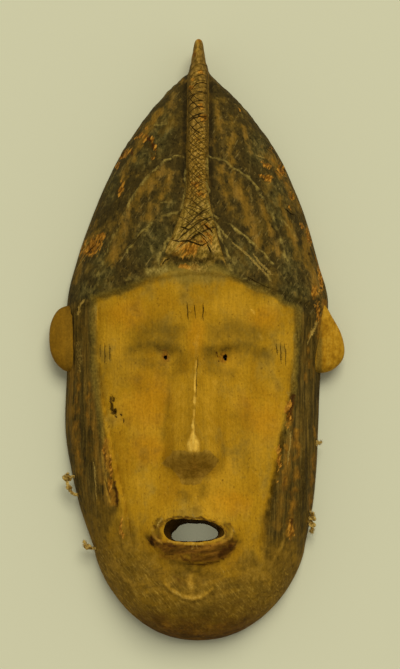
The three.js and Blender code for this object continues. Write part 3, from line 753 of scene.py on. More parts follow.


# Where the finishes and the painted light and shade lie, kept as numbers on the mesh's points. Lines are
# (points, half width, strength) and spots are (x, y, reach across, reach along).

paint = {
    "browEdge": [
        (-95, 23), (-72.7, 24.1), (-61.1, 25), (-52.1, 26.9), (-43.2, 31), (-33, 34.4), (-22, 40),
        (-10, 42), (2.3, 41), (15, 40), (24, 36), (34.3, 31), (45.6, 27.7), (54.5, 24.4), (66, 17.8),
        (80, 14), (95, 14),
    ],
    "wear": [
        (-41.5, 146, 3, 2.2), (-36.5, 143.4, 2.8, 2.2), (-32, 138, 1.5, 3), (-30, 131, 1.2, 4),
        (-31.4, 124.6, 2, 1.5), (-37, 140, 1.5, 1.2), (6, 70, 3.5, 2.5), (8, 65, 3, 2), (-9, 57, 4, 2),
        (-53.5, 134, 5.5, 4.5), (-57.5, 127, 2, 3), (-53.8, 104, 2, 6.5), (-76.5, 64, 9.5, 8),
        (-69, 70, 3.5, 4), (-37, 151, 1.5, 2.5), (49.8, 122, 3.4, 2.6), (51.2, 111.4, 4, 3.2),
        (47, 112, 4.5, 1.2), (61.5, 122, 3.5, 7), (69, 103, 2.8, 3.6), (67, 93, 1.4, 3),
        (80.9, 74.6, 2.4, 7), (76, 80, 2, 3), (89.8, 43, 2.2, 13), (84, 30, 2.4, 7), (87, 16, 2, 9),
        (31, 165.7, 1, 1.6), (55, 139, 2, 1), (-8.2, 42, 4.5, 1.8), (-5, 54, 8, 6), (7, 62, 5, 6),
        (-60, -103, 1.5, 15), (-64, -86, 1.3, 9), (64, -58, 2.2, 12), (57, -92, 1.8, 15),
        (1.2, 216, 2.6, 3), (-1.5, 205, 2, 3), (4, 152, 3, 3.5), (3, 160, 2.2, 3), (0, 100, 3.5, 4),
        (2, 92, 4, 2.5), (1, 106, 2, 2), (66, -140, 2, 6), (-52, -140, 1.4, 8), (-4, 176, 2, 2.5),
        (3, 190, 2, 2), (-3, 183, 1.5, 2), (0, 134, 2, 2),
    ],
    "dust": [
        (marks["outerPetal"][1:7], 1.4, 0.7), (marks["outerPetal"][6:12], 1.1, 0.9),
        (marks["outerPetal"][12:15], 1.1, 0.8), (marks["outerPetal"][14:18], 1.3, 0.8),
        (marks["outerPetal"][17:23], 1.4, 0.7),
        ([(-13.8, 80.7), *marks["innerPetal"][6:0:-1]], 1.0, 0.85), (marks["innerPetal"][8:], 1.0, 1.0),
        ([(16.2, 69.1), *knife["scratches"][1]], 0.6, 0.8),
        (knife["scratches"][2], 0.6, 0.7), ([(-25.7, 88), (-21.5, 89.5), (-17, 86)], 0.9, 0.6),
        ([(-22, 58), (-25, 49), (-27.8, 40)], 0.9, 0.9), ([(20.5, 55), (23.5, 46), (26.4, 37)], 0.9, 0.9),
        ([(-8.6, 122), (-7.8, 100), (-9.5, 88.4), (-12.6, 76.7), (-18.2, 64.1), (-23.2, 55.4),
          (-26.9, 42.8)], 0.8, 0.75),
        ([(7.6, 120), (7.6, 98), (8.4, 81.6), (12.4, 74), (16.8, 64), (20.5, 55.2), (23, 45.2),
          (26.1, 36.5)], 0.9, 0.85), ([(-41.9, 35.9), (-36.9, 39), (-29.4, 39.4), (-22, 40.5)], 3.0, 0.9),
        ([(-38, 66), (-31, 58), (-27, 48)], 3.0, 0.4), ([(24, 46), (26, 40)], 2.0, 0.9),
        ([(27.4, 35.9), (35.5, 33.1), (44.3, 31), (51.9, 28.5)], 0.9, 0.75),
        ([(-54.6, 33), (-43.2, 35.5)], 1.6, 0.6),
        ([(52.5, 85.6), (59, 81.5), (66.9, 75.1), (70.8, 69.2)], 1.0, 0.55),
        ([(50, 148), (57, 147)], 0.8, 0.7), ([(-30, 152), (-26, 151), (-22, 149.5)], 1.0, 0.6),
        ([(32, 163), (34, 158)], 0.8, 0.6), ([(-72, 30), (-70.5, 36), (-69, 42)], 1.2, 0.55),
        ([(66, 34), (64, 28)], 1.2, 0.5), ([(70, -2), (67.5, -30), (64, -46)], 1.4, 0.5),
        ([(-72, 8), (-71, 22)], 1.2, 0.5),
    ],
    # pale wood, scratches and dust, with painted highlights along the lower lip, the chin's ridge and the
    # mouth's corners
    "paleWoodAndHighlight": [
        ([(-85.4, -6), (-84.2, -14), (-83.2, -27)], 2.0, 0.4), ([(-3, 41.5), (6, 41)], 3.5, 0.5),
        ([(-8, -150.2), (0, -150), (8, -149.2)], 0.6, 0.7),
        ([(-18, -181.6), (-14.2, -184.2), (-5.6, -187.3), (3, -186)], 0.9, 0.7),
        ([(-27, -139), (-23.8, -134.6), (-20, -132.6)], 0.8, 0.7),
        ([(-4.6, -175), (-4.2, -180)], 1.6, 0.4), ([(86.6, 9), (82, 0)], 1.2, 1.0),
        ([(-79.6, 23.6), (-85, 16)], 0.9, 1.0), ([(-2, -153), (4, -152.6)], 1.2, 0.8),
        ([(24, -139), (27, -142)], 0.8, 0.7),
    ],
    # soot smudges round the eyes, with painted shade in the eye sockets and down the nose's flanks
    "sootAndShade": [
        ([(-45, -15), (-36, -12), (-26, -11), (-16, -14)], 7.5, 0.7),
        ([(-48, -22), (-38, -21), (-30, -24)], 7, 0.5), ([(-14, -20), (-12, -30)], 6, 0.45),
        ([(-24, -29), (-16, -33), (-12, -41)], 6, 0.45), ([(9, -22), (13, -29), (24, -31)], 6, 0.46),
        ([(30, -22), (40, -21)], 6, 0.36), ([(-13, -17), (-12, -27), (-15, -34)], 6.5, 0.5),
        ([(-38, -5), (-26, -1), (-16, -4)], 10, 0.62), ([(14, -4), (26, 0), (40, -4)], 10, 0.6),
        ([(8, -17), (16, -14), (26, -12), (38, -13), (46, -16)], 7.5, 0.68),
        ([(-40, -14), (-28, -12), (-18, -18)], 5, 0.35), ([(10, -17), (20, -15), (32, -13)], 5, 0.3),
        ([(-24, -24), (-16, -25)], 3.4, 0.3), ([(12, -24), (20, -27)], 3.4, 0.3),
        ([(-27, 0), (-20, 4)], 9, 0.25), ([(36, 2), (28, 0)], 9, 0.3),
        ([(-30, -28), (-22, -31), (-14, -26)], 5, 0.4), ([(13, -28), (22, -31)], 5, 0.35),
        ([(-20.6, -29.4), (-19.3, -40.7), (-20.5, -53.2), (-23, -68.2), (-24.2, -78)], 3, 0.45),
        ([(-62, -28), (-40, -38)], 12, 0.38), ([(34, -62), (34, -92)], 12, 0.38),
        ([(-46, -66), (-40, -88)], 7, 0.2), ([(-10.5, -116), (-6, -118)], 3.8, 0.5),
        ([(4.3, -110), (5, -116)], 4.4, 0.5), ([(-67, -20), (-66, -60)], 2.2, 0.3),
        ([(-52, 24), (-36, 29)], 3, 0.25), ([(36, 28), (50, 22)], 3.4, 0.4),
        ([(-36, -147), (-29, -143)], 3.4, 0.4), ([(29, -148), (24, -142)], 3, 0.45),
        ([(-25, -134.6), (-27.4, -139), (-27, -145)], 3.0, 0.8),
        ([(20.5, -137), (22.6, -141), (21.6, -146)], 2.6, 0.7),
        ([(-52.8, -131), (-49, -140), (-47, -168)], 8, 0.4), ([(43.9, -178), (40, -166)], 8, 0.45),
        ([(-10, -197), (10, -197)], 7, 0.35), ([(24, -178), (31, -179)], 3.5, 0.5),
        ([(43, -146), (47, -136)], 6, 0.3), ([(-4, 30), (-2, 26)], 6, 0.3),
        ([(30, -90), (34, -96)], 5, 0.25),
    ],
    # dark lines of paint and cut edges, with painted shadow along the hood's lower edge at the brow and
    # along the lip edges
    "brow": [
        ([(-40, -12), (-31, -11), (-22.5, -13.4), (-17, -17.4)], 2.2, 0.5),
        ([(-26, -25), (-19, -25.6), (-15, -23)], 1.4, 0.4),
        ([(8.6, -14.7), (15.5, -14.8), (23, -13.5)], 2.4, 0.55), ([(23, -13.5), (34, -11.4)], 1.3, 0.4),
        ([(25, 36), (35, 32.6), (45, 30), (52, 27.4)], 0.9, 0.6),
        ([(-21, 49), (-10, 46.5), (2, 46.5), (14, 48)], 2.3, 0.95),
        ([(-18, 53), (-8, 50.6), (1, 52)], 1.4, 0.8), ([(8, 51), (19, 50)], 1.8, 0.85),
        ([(-55, 33), (-44, 33), (-34, 37)], 2.0, 0.6), ([(52, 26), (60, 21), (66, 15)], 2.4, 0.7),
        ([(-68, 24), (-58, 24.6), (-48, 28)], 2.0, 0.5), ([(-33.5, -146.5), (-30, -150.4)], 1.2, 1.0),
        ([(-27, -152.6), (-19, -154.4), (-9, -153.2), (2, -154.2)], 0.9, 0.9),
        ([(60.5, -72), (55.5, -100), (50, -130)], 2.8, 0.85),
        ([(77, -84), (75, -104), (72.5, -124)], 3.2, 0.8),
        ([(-26, -139.8), (-22, -134.6), (-12, -132.4), (2, -133), (14, -135.4), (22, -140),
          (28, -145.6)], 0.7, 0.75), ([(-6, -163.4), (3, -164.2), (9, -162.8)], 0.8, 0.8),
        ([(-30, -143), (-27.6, -147), (-23, -150.5)], 1.0, 0.6), ([(-50.5, -154), (-49, -157)], 1.2, 0.6),
        ([(27.7, -178.3), (27.9, -180)], 1.2, 0.8), ([(88, -25), (95, -24.4)], 0.9, 0.8),
        ([(-8.4, 197), (-8, 206)], 1.4, 0.7), ([(-33.8, 136), (-32.6, 134)], 1.6, 0.8),
        ([(-77, 88.4), (-76.8, 88)], 0.9, 0.9), ([(-40.6, -30.3), (-40, -30.3)], 0.8, 0.7),
        ([(15, -150.2), (-16, -150.4)], 0.5, 0.5), ([(-60.4, -92), (-60.4, -112), (-57, -122)], 1.1, 0.9),
        ([(-84, -34), (-84, -36)], 0.8, 0.7),
    ],
    "eyeRim": [(-21.9, -19.9, 4.6, 5), (18.6, -20.4, 6, 5.6)],
    # outline of the brown stain under the nose, which also holds painted shade: the underside darkened as
    # though lit from above
    "under": [
        (-25.6, -94.6), (-20.6, -91.6), (-15.6, -87), (-7.9, -87.4), (-3, -90), (3, -87.6), (9, -87.6),
        (16, -94.2), (12.9, -97.3), (8, -102.5), (4.3, -107), (-2.5, -110.8), (-9.3, -108.2),
        (-15.4, -100.7), (-20.4, -97.6),
    ],
    "lip": [
        ([(-29, -147.8), (-24, -151.2), (-14, -154), (-4, -155), (8, -154.6), (17, -152.8),
          (23.4, -148.8)], 4.9, 1.0), ([(12, -157.4), (19, -155.4), (23, -151.6)], 4.6, 1.0),
        ([(-2, -160.4), (10, -159.8)], 3.4, 0.9),
    ],
    # dark umber marks, with painted shade along the mouth's upper edge and in its corners, and rusty
    # lighter marks
    "umber": [
        ([(-26, -149.4), (-14, -151.2), (-2, -151.8), (10.3, -151.2)], 0.8, 0.9),
        ([(-30.5, -143.4), (-28.6, -138.6)], 2.0, 0.6),
        ([(-24.6, -146), (-25.2, -140.5), (-22.6, -135.4)], 2.4, 0.56),
        ([(22.4, -137), (25.6, -141)], 1.7, 0.55),
        ([(19.6, -146), (20.6, -141), (18.4, -137.4)], 2.2, 0.54),
        ([(-20.6, -134.4), (-10.4, -132.8), (1.8, -133.4), (12, -135.8), (18.4, -140)], 1.3, 0.72),
        ([(-29.4, -138), (-28, -140.6)], 0.9, 0.8), ([(-27.8, -134.6), (-25.6, -133)], 0.9, 0.7),
        ([(25.6, -140.4), (26.6, -143)], 0.9, 0.7), ([(13.6, -17.4), (14, -19.2)], 0.9, 0.95),
        ([(17, -17), (17, -18.4)], 0.8, 0.85), ([(15, -23), (15.3, -24.4)], 0.9, 0.85),
        ([(-26, -14.6), (-21.4, -16), (-18, -18.8)], 0.7, 0.6),
        ([(-24, -153.4), (-12, -155.4), (2, -156.2), (12, -155)], 0.6, 0.6),
        ([(-11, -159), (-0.6, -164), (10.3, -163.4), (20, -159)], 1.3, 0.7),
        ([(24, -152), (21, -154.6), (15.5, -157.4)], 2.3, 0.78), ([(24, -151), (22.6, -152.6)], 1.0, 1.0),
        ([(-31.6, -146), (-30, -150.5)], 1.2, 1.0),
        ([(-22, -156.6), (-12, -158.6), (-4, -160.6)], 0.6, 0.7),
        ([(-15, -172.6), (-10, -176)], 3.4, 0.5), ([(3, -173.4), (8, -171.6)], 2.4, 0.45),
        ([(-5, -168.2), (1, -168.8)], 1.3, 0.5), ([(67, -46), (66.4, -54), (65.8, -62)], 2.2, 0.9),
        ([(66.5, -132), (66, -140)], 2.0, 0.8), ([(62, -104), (60.5, -114)], 1.6, 0.6),
        ([(-57.2, -108), (-56.2, -116), (-55.6, -123)], 1.4, 1.0),
        ([(-61, -90), (-59.2, -102), (-57.4, -111)], 0.8, 0.8),
        ([(-36, 141), (-32.4, 138.6), (-30.6, 132)], 1.2, 0.9),
        ([(-47.7, 134.5), (-46.5, 131)], 1.4, 0.8), ([(-19, 61.5), (-14, 60.5)], 0.8, 0.8),
        ([(-2, 60), (6, 58.4)], 0.9, 0.8),
    ],
    "rust": [
        ([(47, 137), (54, 135)], 1.6, 0.7), ([(50, 129), (58, 126.6)], 1.6, 0.7),
        ([(58, 118), (64, 112)], 2, 0.7),
        ([(70.5, -70), (69.5, -104), (67, -124), (64, -146)], 3.0, 0.75),
        ([(84, -66), (83, -96), (80, -124)], 2.2, 0.6),
        ([(-85, -30), (-85, -70), (-81, -100)], 2.6, 0.55), ([(-76, -36), (-75.5, -84)], 2.0, 0.5),
        ([(80, 0), (78, -34)], 2.2, 0.45), ([(-81, 10), (-80, -20)], 2.0, 0.4),
        ([(-24, -157.6), (-14, -159.8), (-6, -160.6)], 2.0, 0.8),
        ([(63, -80), (63, -94), (61.6, -108)], 2.0, 0.8), ([(-2.4, -91.5), (-2.2, -99)], 2.4, 0.6),
        ([(-15, 51), (-5, 55), (3, 60)], 3.4, 0.5), ([(2, 74), (8, 66), (10, 60)], 2.8, 0.5),
        ([(66.5, -50), (65.6, -66)], 3.0, 0.6), ([(-63, -78), (-61.6, -98), (-58.4, -122)], 2.2, 0.95),
        ([(92, 26), (90.5, 12), (88.5, 0)], 2.4, 0.7), ([(-42, 147), (-38, 143)], 1.8, 0.7),
        ([(86, 62), (90, 46)], 2.0, 0.6), ([(-20, -204), (0, -209), (18, -206)], 5, 0.45),
        ([(-6, 42), (0, 42)], 1.8, 0.6),
    ],
    # faint ochre painted highlights on the chin's ridge and the lips, and lighter wood
    "soft": [
        (marks["chinArc"], 1.7, 0.85), ([(-4.3, -172), (-3.7, -181)], 3.0, 0.75),
        ([(-19, -148.2), (-8, -149.8), (3, -149.4), (13, -147.8), (19, -144.8)], 0.9, 1.0),
        (marks["lipRidge"][:3], 1.3, 0.7),
        ([(24.8, -140), (23.6, -145.4), (17, -149.4)], 1.3, 0.7),
        ([(-2.4, -91), (-2.2, -100)], 2.6, 0.45), ([(-44, -178), (-52, -170), (-58, -158)], 2.6, 0.5),
        ([(54, -160), (60, -150), (62, -142)], 2.0, 0.4), ([(-50, -150), (-58, -164)], 8, 0.35),
        ([(36, -168), (48, -174)], 7, 0.4), ([(-66, -86), (-64.6, -100), (-61, -120)], 1.3, 0.65),
        ([(-22, -196), (-8, -199), (6, -198)], 2.6, 0.25),
    ],
    # painted light: the nose's flanks made lighter, as though lit more
    "noseSideLight": [
        ([(-11, -36), (-11.5, -54), (-12, -74)], 7, 0.9), ([(9, -38), (9.5, -56), (9.5, -74)], 6.4, 0.8),
    ],
    "hole": [
        (-59.5, -48.5, 2.1, 3.0), (-60, -53, 1.9, 3.0), (-58, -57.4, 2.8, 3.2), (-53, -60.1, 0.8, 1.4),
        (-51.1, -63.9, 0.7, 2.1), (-55.7, -38.6, 0.8, 1), (-55.7, -43.6, 0.7, 0.9), (69, 102.1, 1.5, 1.5),
        (80.6, 60, 1.4, 1.6), (-50, -57, 0.6, 1.2), (-56, -61, 0.8, 1.2),
    ],
    # rubbed, polished wood on the nose and the finial's tip, with painted highlights along the nose's ridge
    # and tip
    "polishAndHighlight": [
        ([(-0.4, -24.6), (-1.2, -40)], 0.9, 0.6), ([(-1.2, -40), (-1.6, -55.6), (-2.4, -70.9)], 0.9, 0.8),
        ([(-2.4, -70.9), (-2.8, -79)], 1.2, 1.0), ([(-2.8, -78), (-2.6, -82)], 1.9, 1.0),
        ([(-2.2, -83), (-2, -86.4)], 4.2, 1.0), ([(0.2, -6), (-0.2, -20)], 2.4, 0.25),
        ([(38, 13.4), (40.8, 10.8)], 0.8, 0.6), ([(44, -4), (46, -7)], 1.8, 0.3),
        ([(-0.4, 218.6), (0.4, 212)], 1.7, 0.42), ([(-3.4, 209), (-5, 203)], 0.9, 0.5),
        ([(0.6, 210), (0.2, 206)], 1.3, 0.4),
    ],
    "warm": [
        ([(25, 156), (26, 134), (24, 114)], 4, 0.7), ([(15, 164), (16, 140), (15, 126)], 4, 0.55),
        ([(34, 150), (38, 130)], 3, 0.5), ([(22, 110), (33, 92), (38, 74), (46, 58)], 6, 0.7),
        ([(16, 116), (20, 96), (22, 84)], 4, 0.6), ([(46, 92), (52, 72), (57, 54)], 3.4, 0.75),
        ([(60, 98), (67, 74), (71, 54)], 4, 0.7),
        ([(-24, 112), (-38, 99), (-48, 83), (-55, 66), (-60, 50)], 6, 0.65),
        ([(-20, 108), (-26, 92), (-34, 80)], 5, 0.7),
        ([(-27, 163), (-38, 146), (-46, 128), (-54, 112)], 4, 0.8), ([(-16, 176), (-20, 160)], 4, 0.5),
        ([(-8, 150), (-9, 130)], 3, 0.3), ([(84, 84), (80, 60), (88, 30)], 5, 0.9),
        ([(74, 96), (66, 112), (54, 130)], 5, 0.7), ([(-12, 196), (-10, 186)], 3, 0.7),
        ([(-88, 40), (-80, 62), (-72, 84)], 4, 0.6), ([(-90, -20), (-90, -60), (-84, -96)], 3, 0.9),
        ([(-74, -30), (-72, -60), (-70, -86)], 3, 0.8), ([(-70, -88), (-66, -104), (-60, -122)], 3, 1.0),
        ([(65, -60), (65, -80), (63, -100), (59, -118), (56, -138)], 3.4, 1.0),
        ([(68, -122), (68, -140), (64, -152)], 3, 0.8), ([(84, -10), (82, -30)], 3, 0.5),
        ([(-80, -100), (-74, -122)], 2.5, 0.5), ([(14, 44), (40, 38)], 3, 0.3),
    ],
    "cool": [
        (-26, 146, 10, 22), (-30, 60, 14, 18), (-40, 126, 10, 9), (-22, 88, 8, 8), (58, 96, 7, 22),
        (-66, 45, 10, 20), (66, 50, 8, 22), (30, 50, 14, 12), (-62, 110, 7, 16), (70, 28, 12, 8),
        (-78, 30, 12, 9), (44, 134, 10, 16), (58, 82, 8, 8), (80, -60, 6, 50), (-88, -80, 5, 30),
    ],
    "ochreCheek": [
        (-34, -50, 22, 26), (-50, 10, 16, 14), (-34, -84, 16, 12), (44, -60, 18, 20), (0, -6, 9, 16),
        (24, -120, 20, 12), (46, 8, 12, 10),
    ],
}


def strongestSpot(x, y, spots):
    # 1 at the middle of the nearest spot, 0 on its outline, below 0 outside
    best = np.full(x.shape, -1.0)
    for spotX, spotY, reachX, reachY in spots:
        best = np.maximum(best, 1 - np.hypot((x - spotX) / reachX, (y - spotY) / reachY))
    return best


def strongestLine(x, y, lines):
    best = np.zeros(x.shape)
    for points, half, strength in lines:
        far = nearLine(x, y, lineThrough(points))
        best = np.maximum(best, strength * bell(far, half))
    return best


def insideLoop(x, y, loop):
    # signed distance to a closed line, positive inside
    ring = np.concatenate([loop, loop[:1]])
    inside = np.zeros(x.shape, bool)
    for (ax, ay), (bx, by) in zip(ring[:-1], ring[1:]):
        crosses = (ay > y) != (by > y)
        inside ^= crosses & (x < (bx - ax) * (y - ay) / (by - ay + 1e-12) + ax)
    return nearLine(x, y, ring) * np.where(inside, 1, -1)


def layPaint(body):
    mesh = body.data
    count = len(mesh.vertices)
    x, y, z = (readNumbers(mesh.vertices, "co", 3).reshape(-1, 3) / metre).T
    y = y + shell["centreY"]
    share = rimShare(x, y)
    reach = np.abs(x) - panelHalf(y)
    side = np.where(x < 0, 2.2 + 2.4 * fade(-y, 30, 90) + 16 * fade(-y, 118, 156), 12 * fade(-y, 150, 190))
    side = side - reach + 1.2 * rough(x, y, 5, 22, 37)
    # hand-painted edges waver, so places are read a little off their true spot
    swayX = x + 1.1 * rough(x, y, 6, 6, 31) + 0.5 * rough(x, y, 2, 2, 32)
    swayY = y + 1.1 * rough(x, y, 6, 6, 33) + 0.5 * rough(x, y, 2, 2, 34)
    broken = np.clip(0.9 + 0.7 * rough(x, y, 5, 5, 35), 0.3, 1.2)
    crestFoot = fade(y + 7 * rough(x, y, 8, 6, 38), 39, 54)
    brow = curve(paint["browEdge"])(x) - y + 1.5 * rough(x, y, 9, 6, 36)
    panel = np.minimum(side, brow)
    crestEdge = fromCrest(x, y)
    hood = fade(-brow, -2, 2)
    values = {
        "panel": np.clip(panel, -12, 12),
        "face": fade(panel, -1, 4),
        "faceEdge": bell(panel + 0.5, 3.2) * (1 - fade(-y, 66, 105)),
        "below": fade(-y + 0.3 * np.abs(x) + np.where(x < 0, 12, -8) * fade(np.abs(x), 20, 50), 138, 188),
        # painted shade: darker towards the chin's tip, as though lit from above
        "chinTipShade": fade(-y, 186, 214),
        "browZone": hill(x, y - 38, 44, 12),
        "band": fade(reach, -1, 2) * (1 - hood) * fade(y + np.where(x < 0, 0, 22), -176, -120),
        # under the nose: brown stain with painted shade
        "under": insideLoop(swayX, swayY, np.array(paint["under"])),
        "polishAndHighlight": strongestLine(x, y, paint["polishAndHighlight"]),
        "soft": strongestLine(0.5 * (x + swayX), 0.5 * (y + swayY), paint["soft"]),
        "onCrest": (1 - fade(crestEdge, -0.5, 1.5)) * crestFoot,
        "flare": (1 - fade(crestEdge, -1, 0.5)) * crestFoot * (1 - fade(y, 78, 98)),
        # painted shade where the ears meet the head
        "earRootShade": (bell(np.abs(x) - np.where(x < 0, 92, 87.5), 2.8) * fade(y, -32, -24)
                    * (1 - fade(y, 20, 28))),
        # painted shadow down the crest's sides
        "crestSideShade": bell(crestEdge + 0.8, 1.7) * fade(y, 88, 104),
        "upperCrest": (1 - fade(crestEdge, -0.5, 1.5)) * fade(y, 136, 150),
        # painted shadow on the hood beside the crest
        "besideCrestShade": bell(crestEdge - 2, 2.2) * fade(y, 84, 110) * fade(share, 1.0, 0.7),
        "rim": fade(share, 0.9, 1.0) * fade(z, 34, 10) * hood,
        # painted shade: the left ear darker, as though the light came from the right
        "leftEar": fade(-x, 80, 90),
        "mouthRight": fade(x, 4, 16),
    }
    for name in ("wear", "eyeRim", "hole", "cool", "ochreCheek"):
        values[name] = strongestSpot(swayX, swayY, paint[name])
    for name in ("dust", "paleWoodAndHighlight", "sootAndShade", "brow", "lip", "umber", "rust", "noseSideLight", "warm"):
        values[name] = strongestLine(swayX, swayY, paint[name])
    # worn places, where a finish is broken up
    for name in ("dust", "brow", "rust"):
        values[name] *= broken
    values["paleWoodAndHighlight"] *= np.clip(broken + 0.15, 0, 1)
    values["warm"] *= np.clip(1.0 + 0.6 * rough(x, y, 6, 14, 39), 0.3, 1.25)
    offNose = fade(np.abs(y + 50), 20, 30)
    values["polishAndHighlight"] *= mix(np.clip(0.75 + rough(x, y, 2, 5, 40), 0.25, 1.1), 1, offNose)
    # share of each point's faces that a tool has left
    corners = readNumbers(mesh.loops, "vertex_index", 1, int)
    faceKind = readNumbers(mesh.polygons, "material_index", 1, int)
    cornerKind = np.repeat(faceKind, readNumbers(mesh.polygons, "loop_total", 1, int))
    total = np.maximum(np.bincount(corners, minlength=count), 1)
    for name in tagNames[1:]:
        madeHere = np.array([slot.name == "tag_" + name for slot in mesh.materials])[cornerKind]
        values[name] = np.bincount(corners, madeHere, minlength=count) / total
    for name, tag in (("leftEar", "ear"), ("earRootShade", "ear"), ("mouthRight", "mouthWall")):
        values[name] *= values[tag]
    values["inside"] = np.maximum(values["inside"], (z < 0.05).astype(float))
    for name, value in values.items():
        layer = mesh.attributes.new(name, "FLOAT", "POINT")
        layer.data.foreach_set("value", value.astype(np.float32))


# Materials

def colour(code):
    # sRGB hex to linear
    parts = [int(code[i:i + 2], 16) / 255 for i in (1, 3, 5)]
    linear = [part / 12.92 if part <= 0.04045 else ((part + 0.055) / 1.055) ** 2.4 for part in parts]
    return (*linear, 1)


def setInputs(tree, node, inputs):
    for socket, source in inputs.items():
        if isinstance(source, bpy.types.NodeSocket):
            tree.links.new(source, node.inputs[socket])
        else:
            node.inputs[socket].default_value = source


def addNode(tree, kind, inputs=None, out=0, **settings):
    # adds a node with its settings and links, and gives back one of its outputs
    node = tree.nodes.new(kind)
    for name, value in settings.items():
        setattr(node, name, value)
    setInputs(tree, node, inputs or {})
    return node.outputs[out] if node.outputs else None


def newMaterial(name):
    material = bpy.data.materials.new(name)
    material.use_nodes = True
    tree = material.node_tree
    return material, tree, tree.nodes["Principled BSDF"]


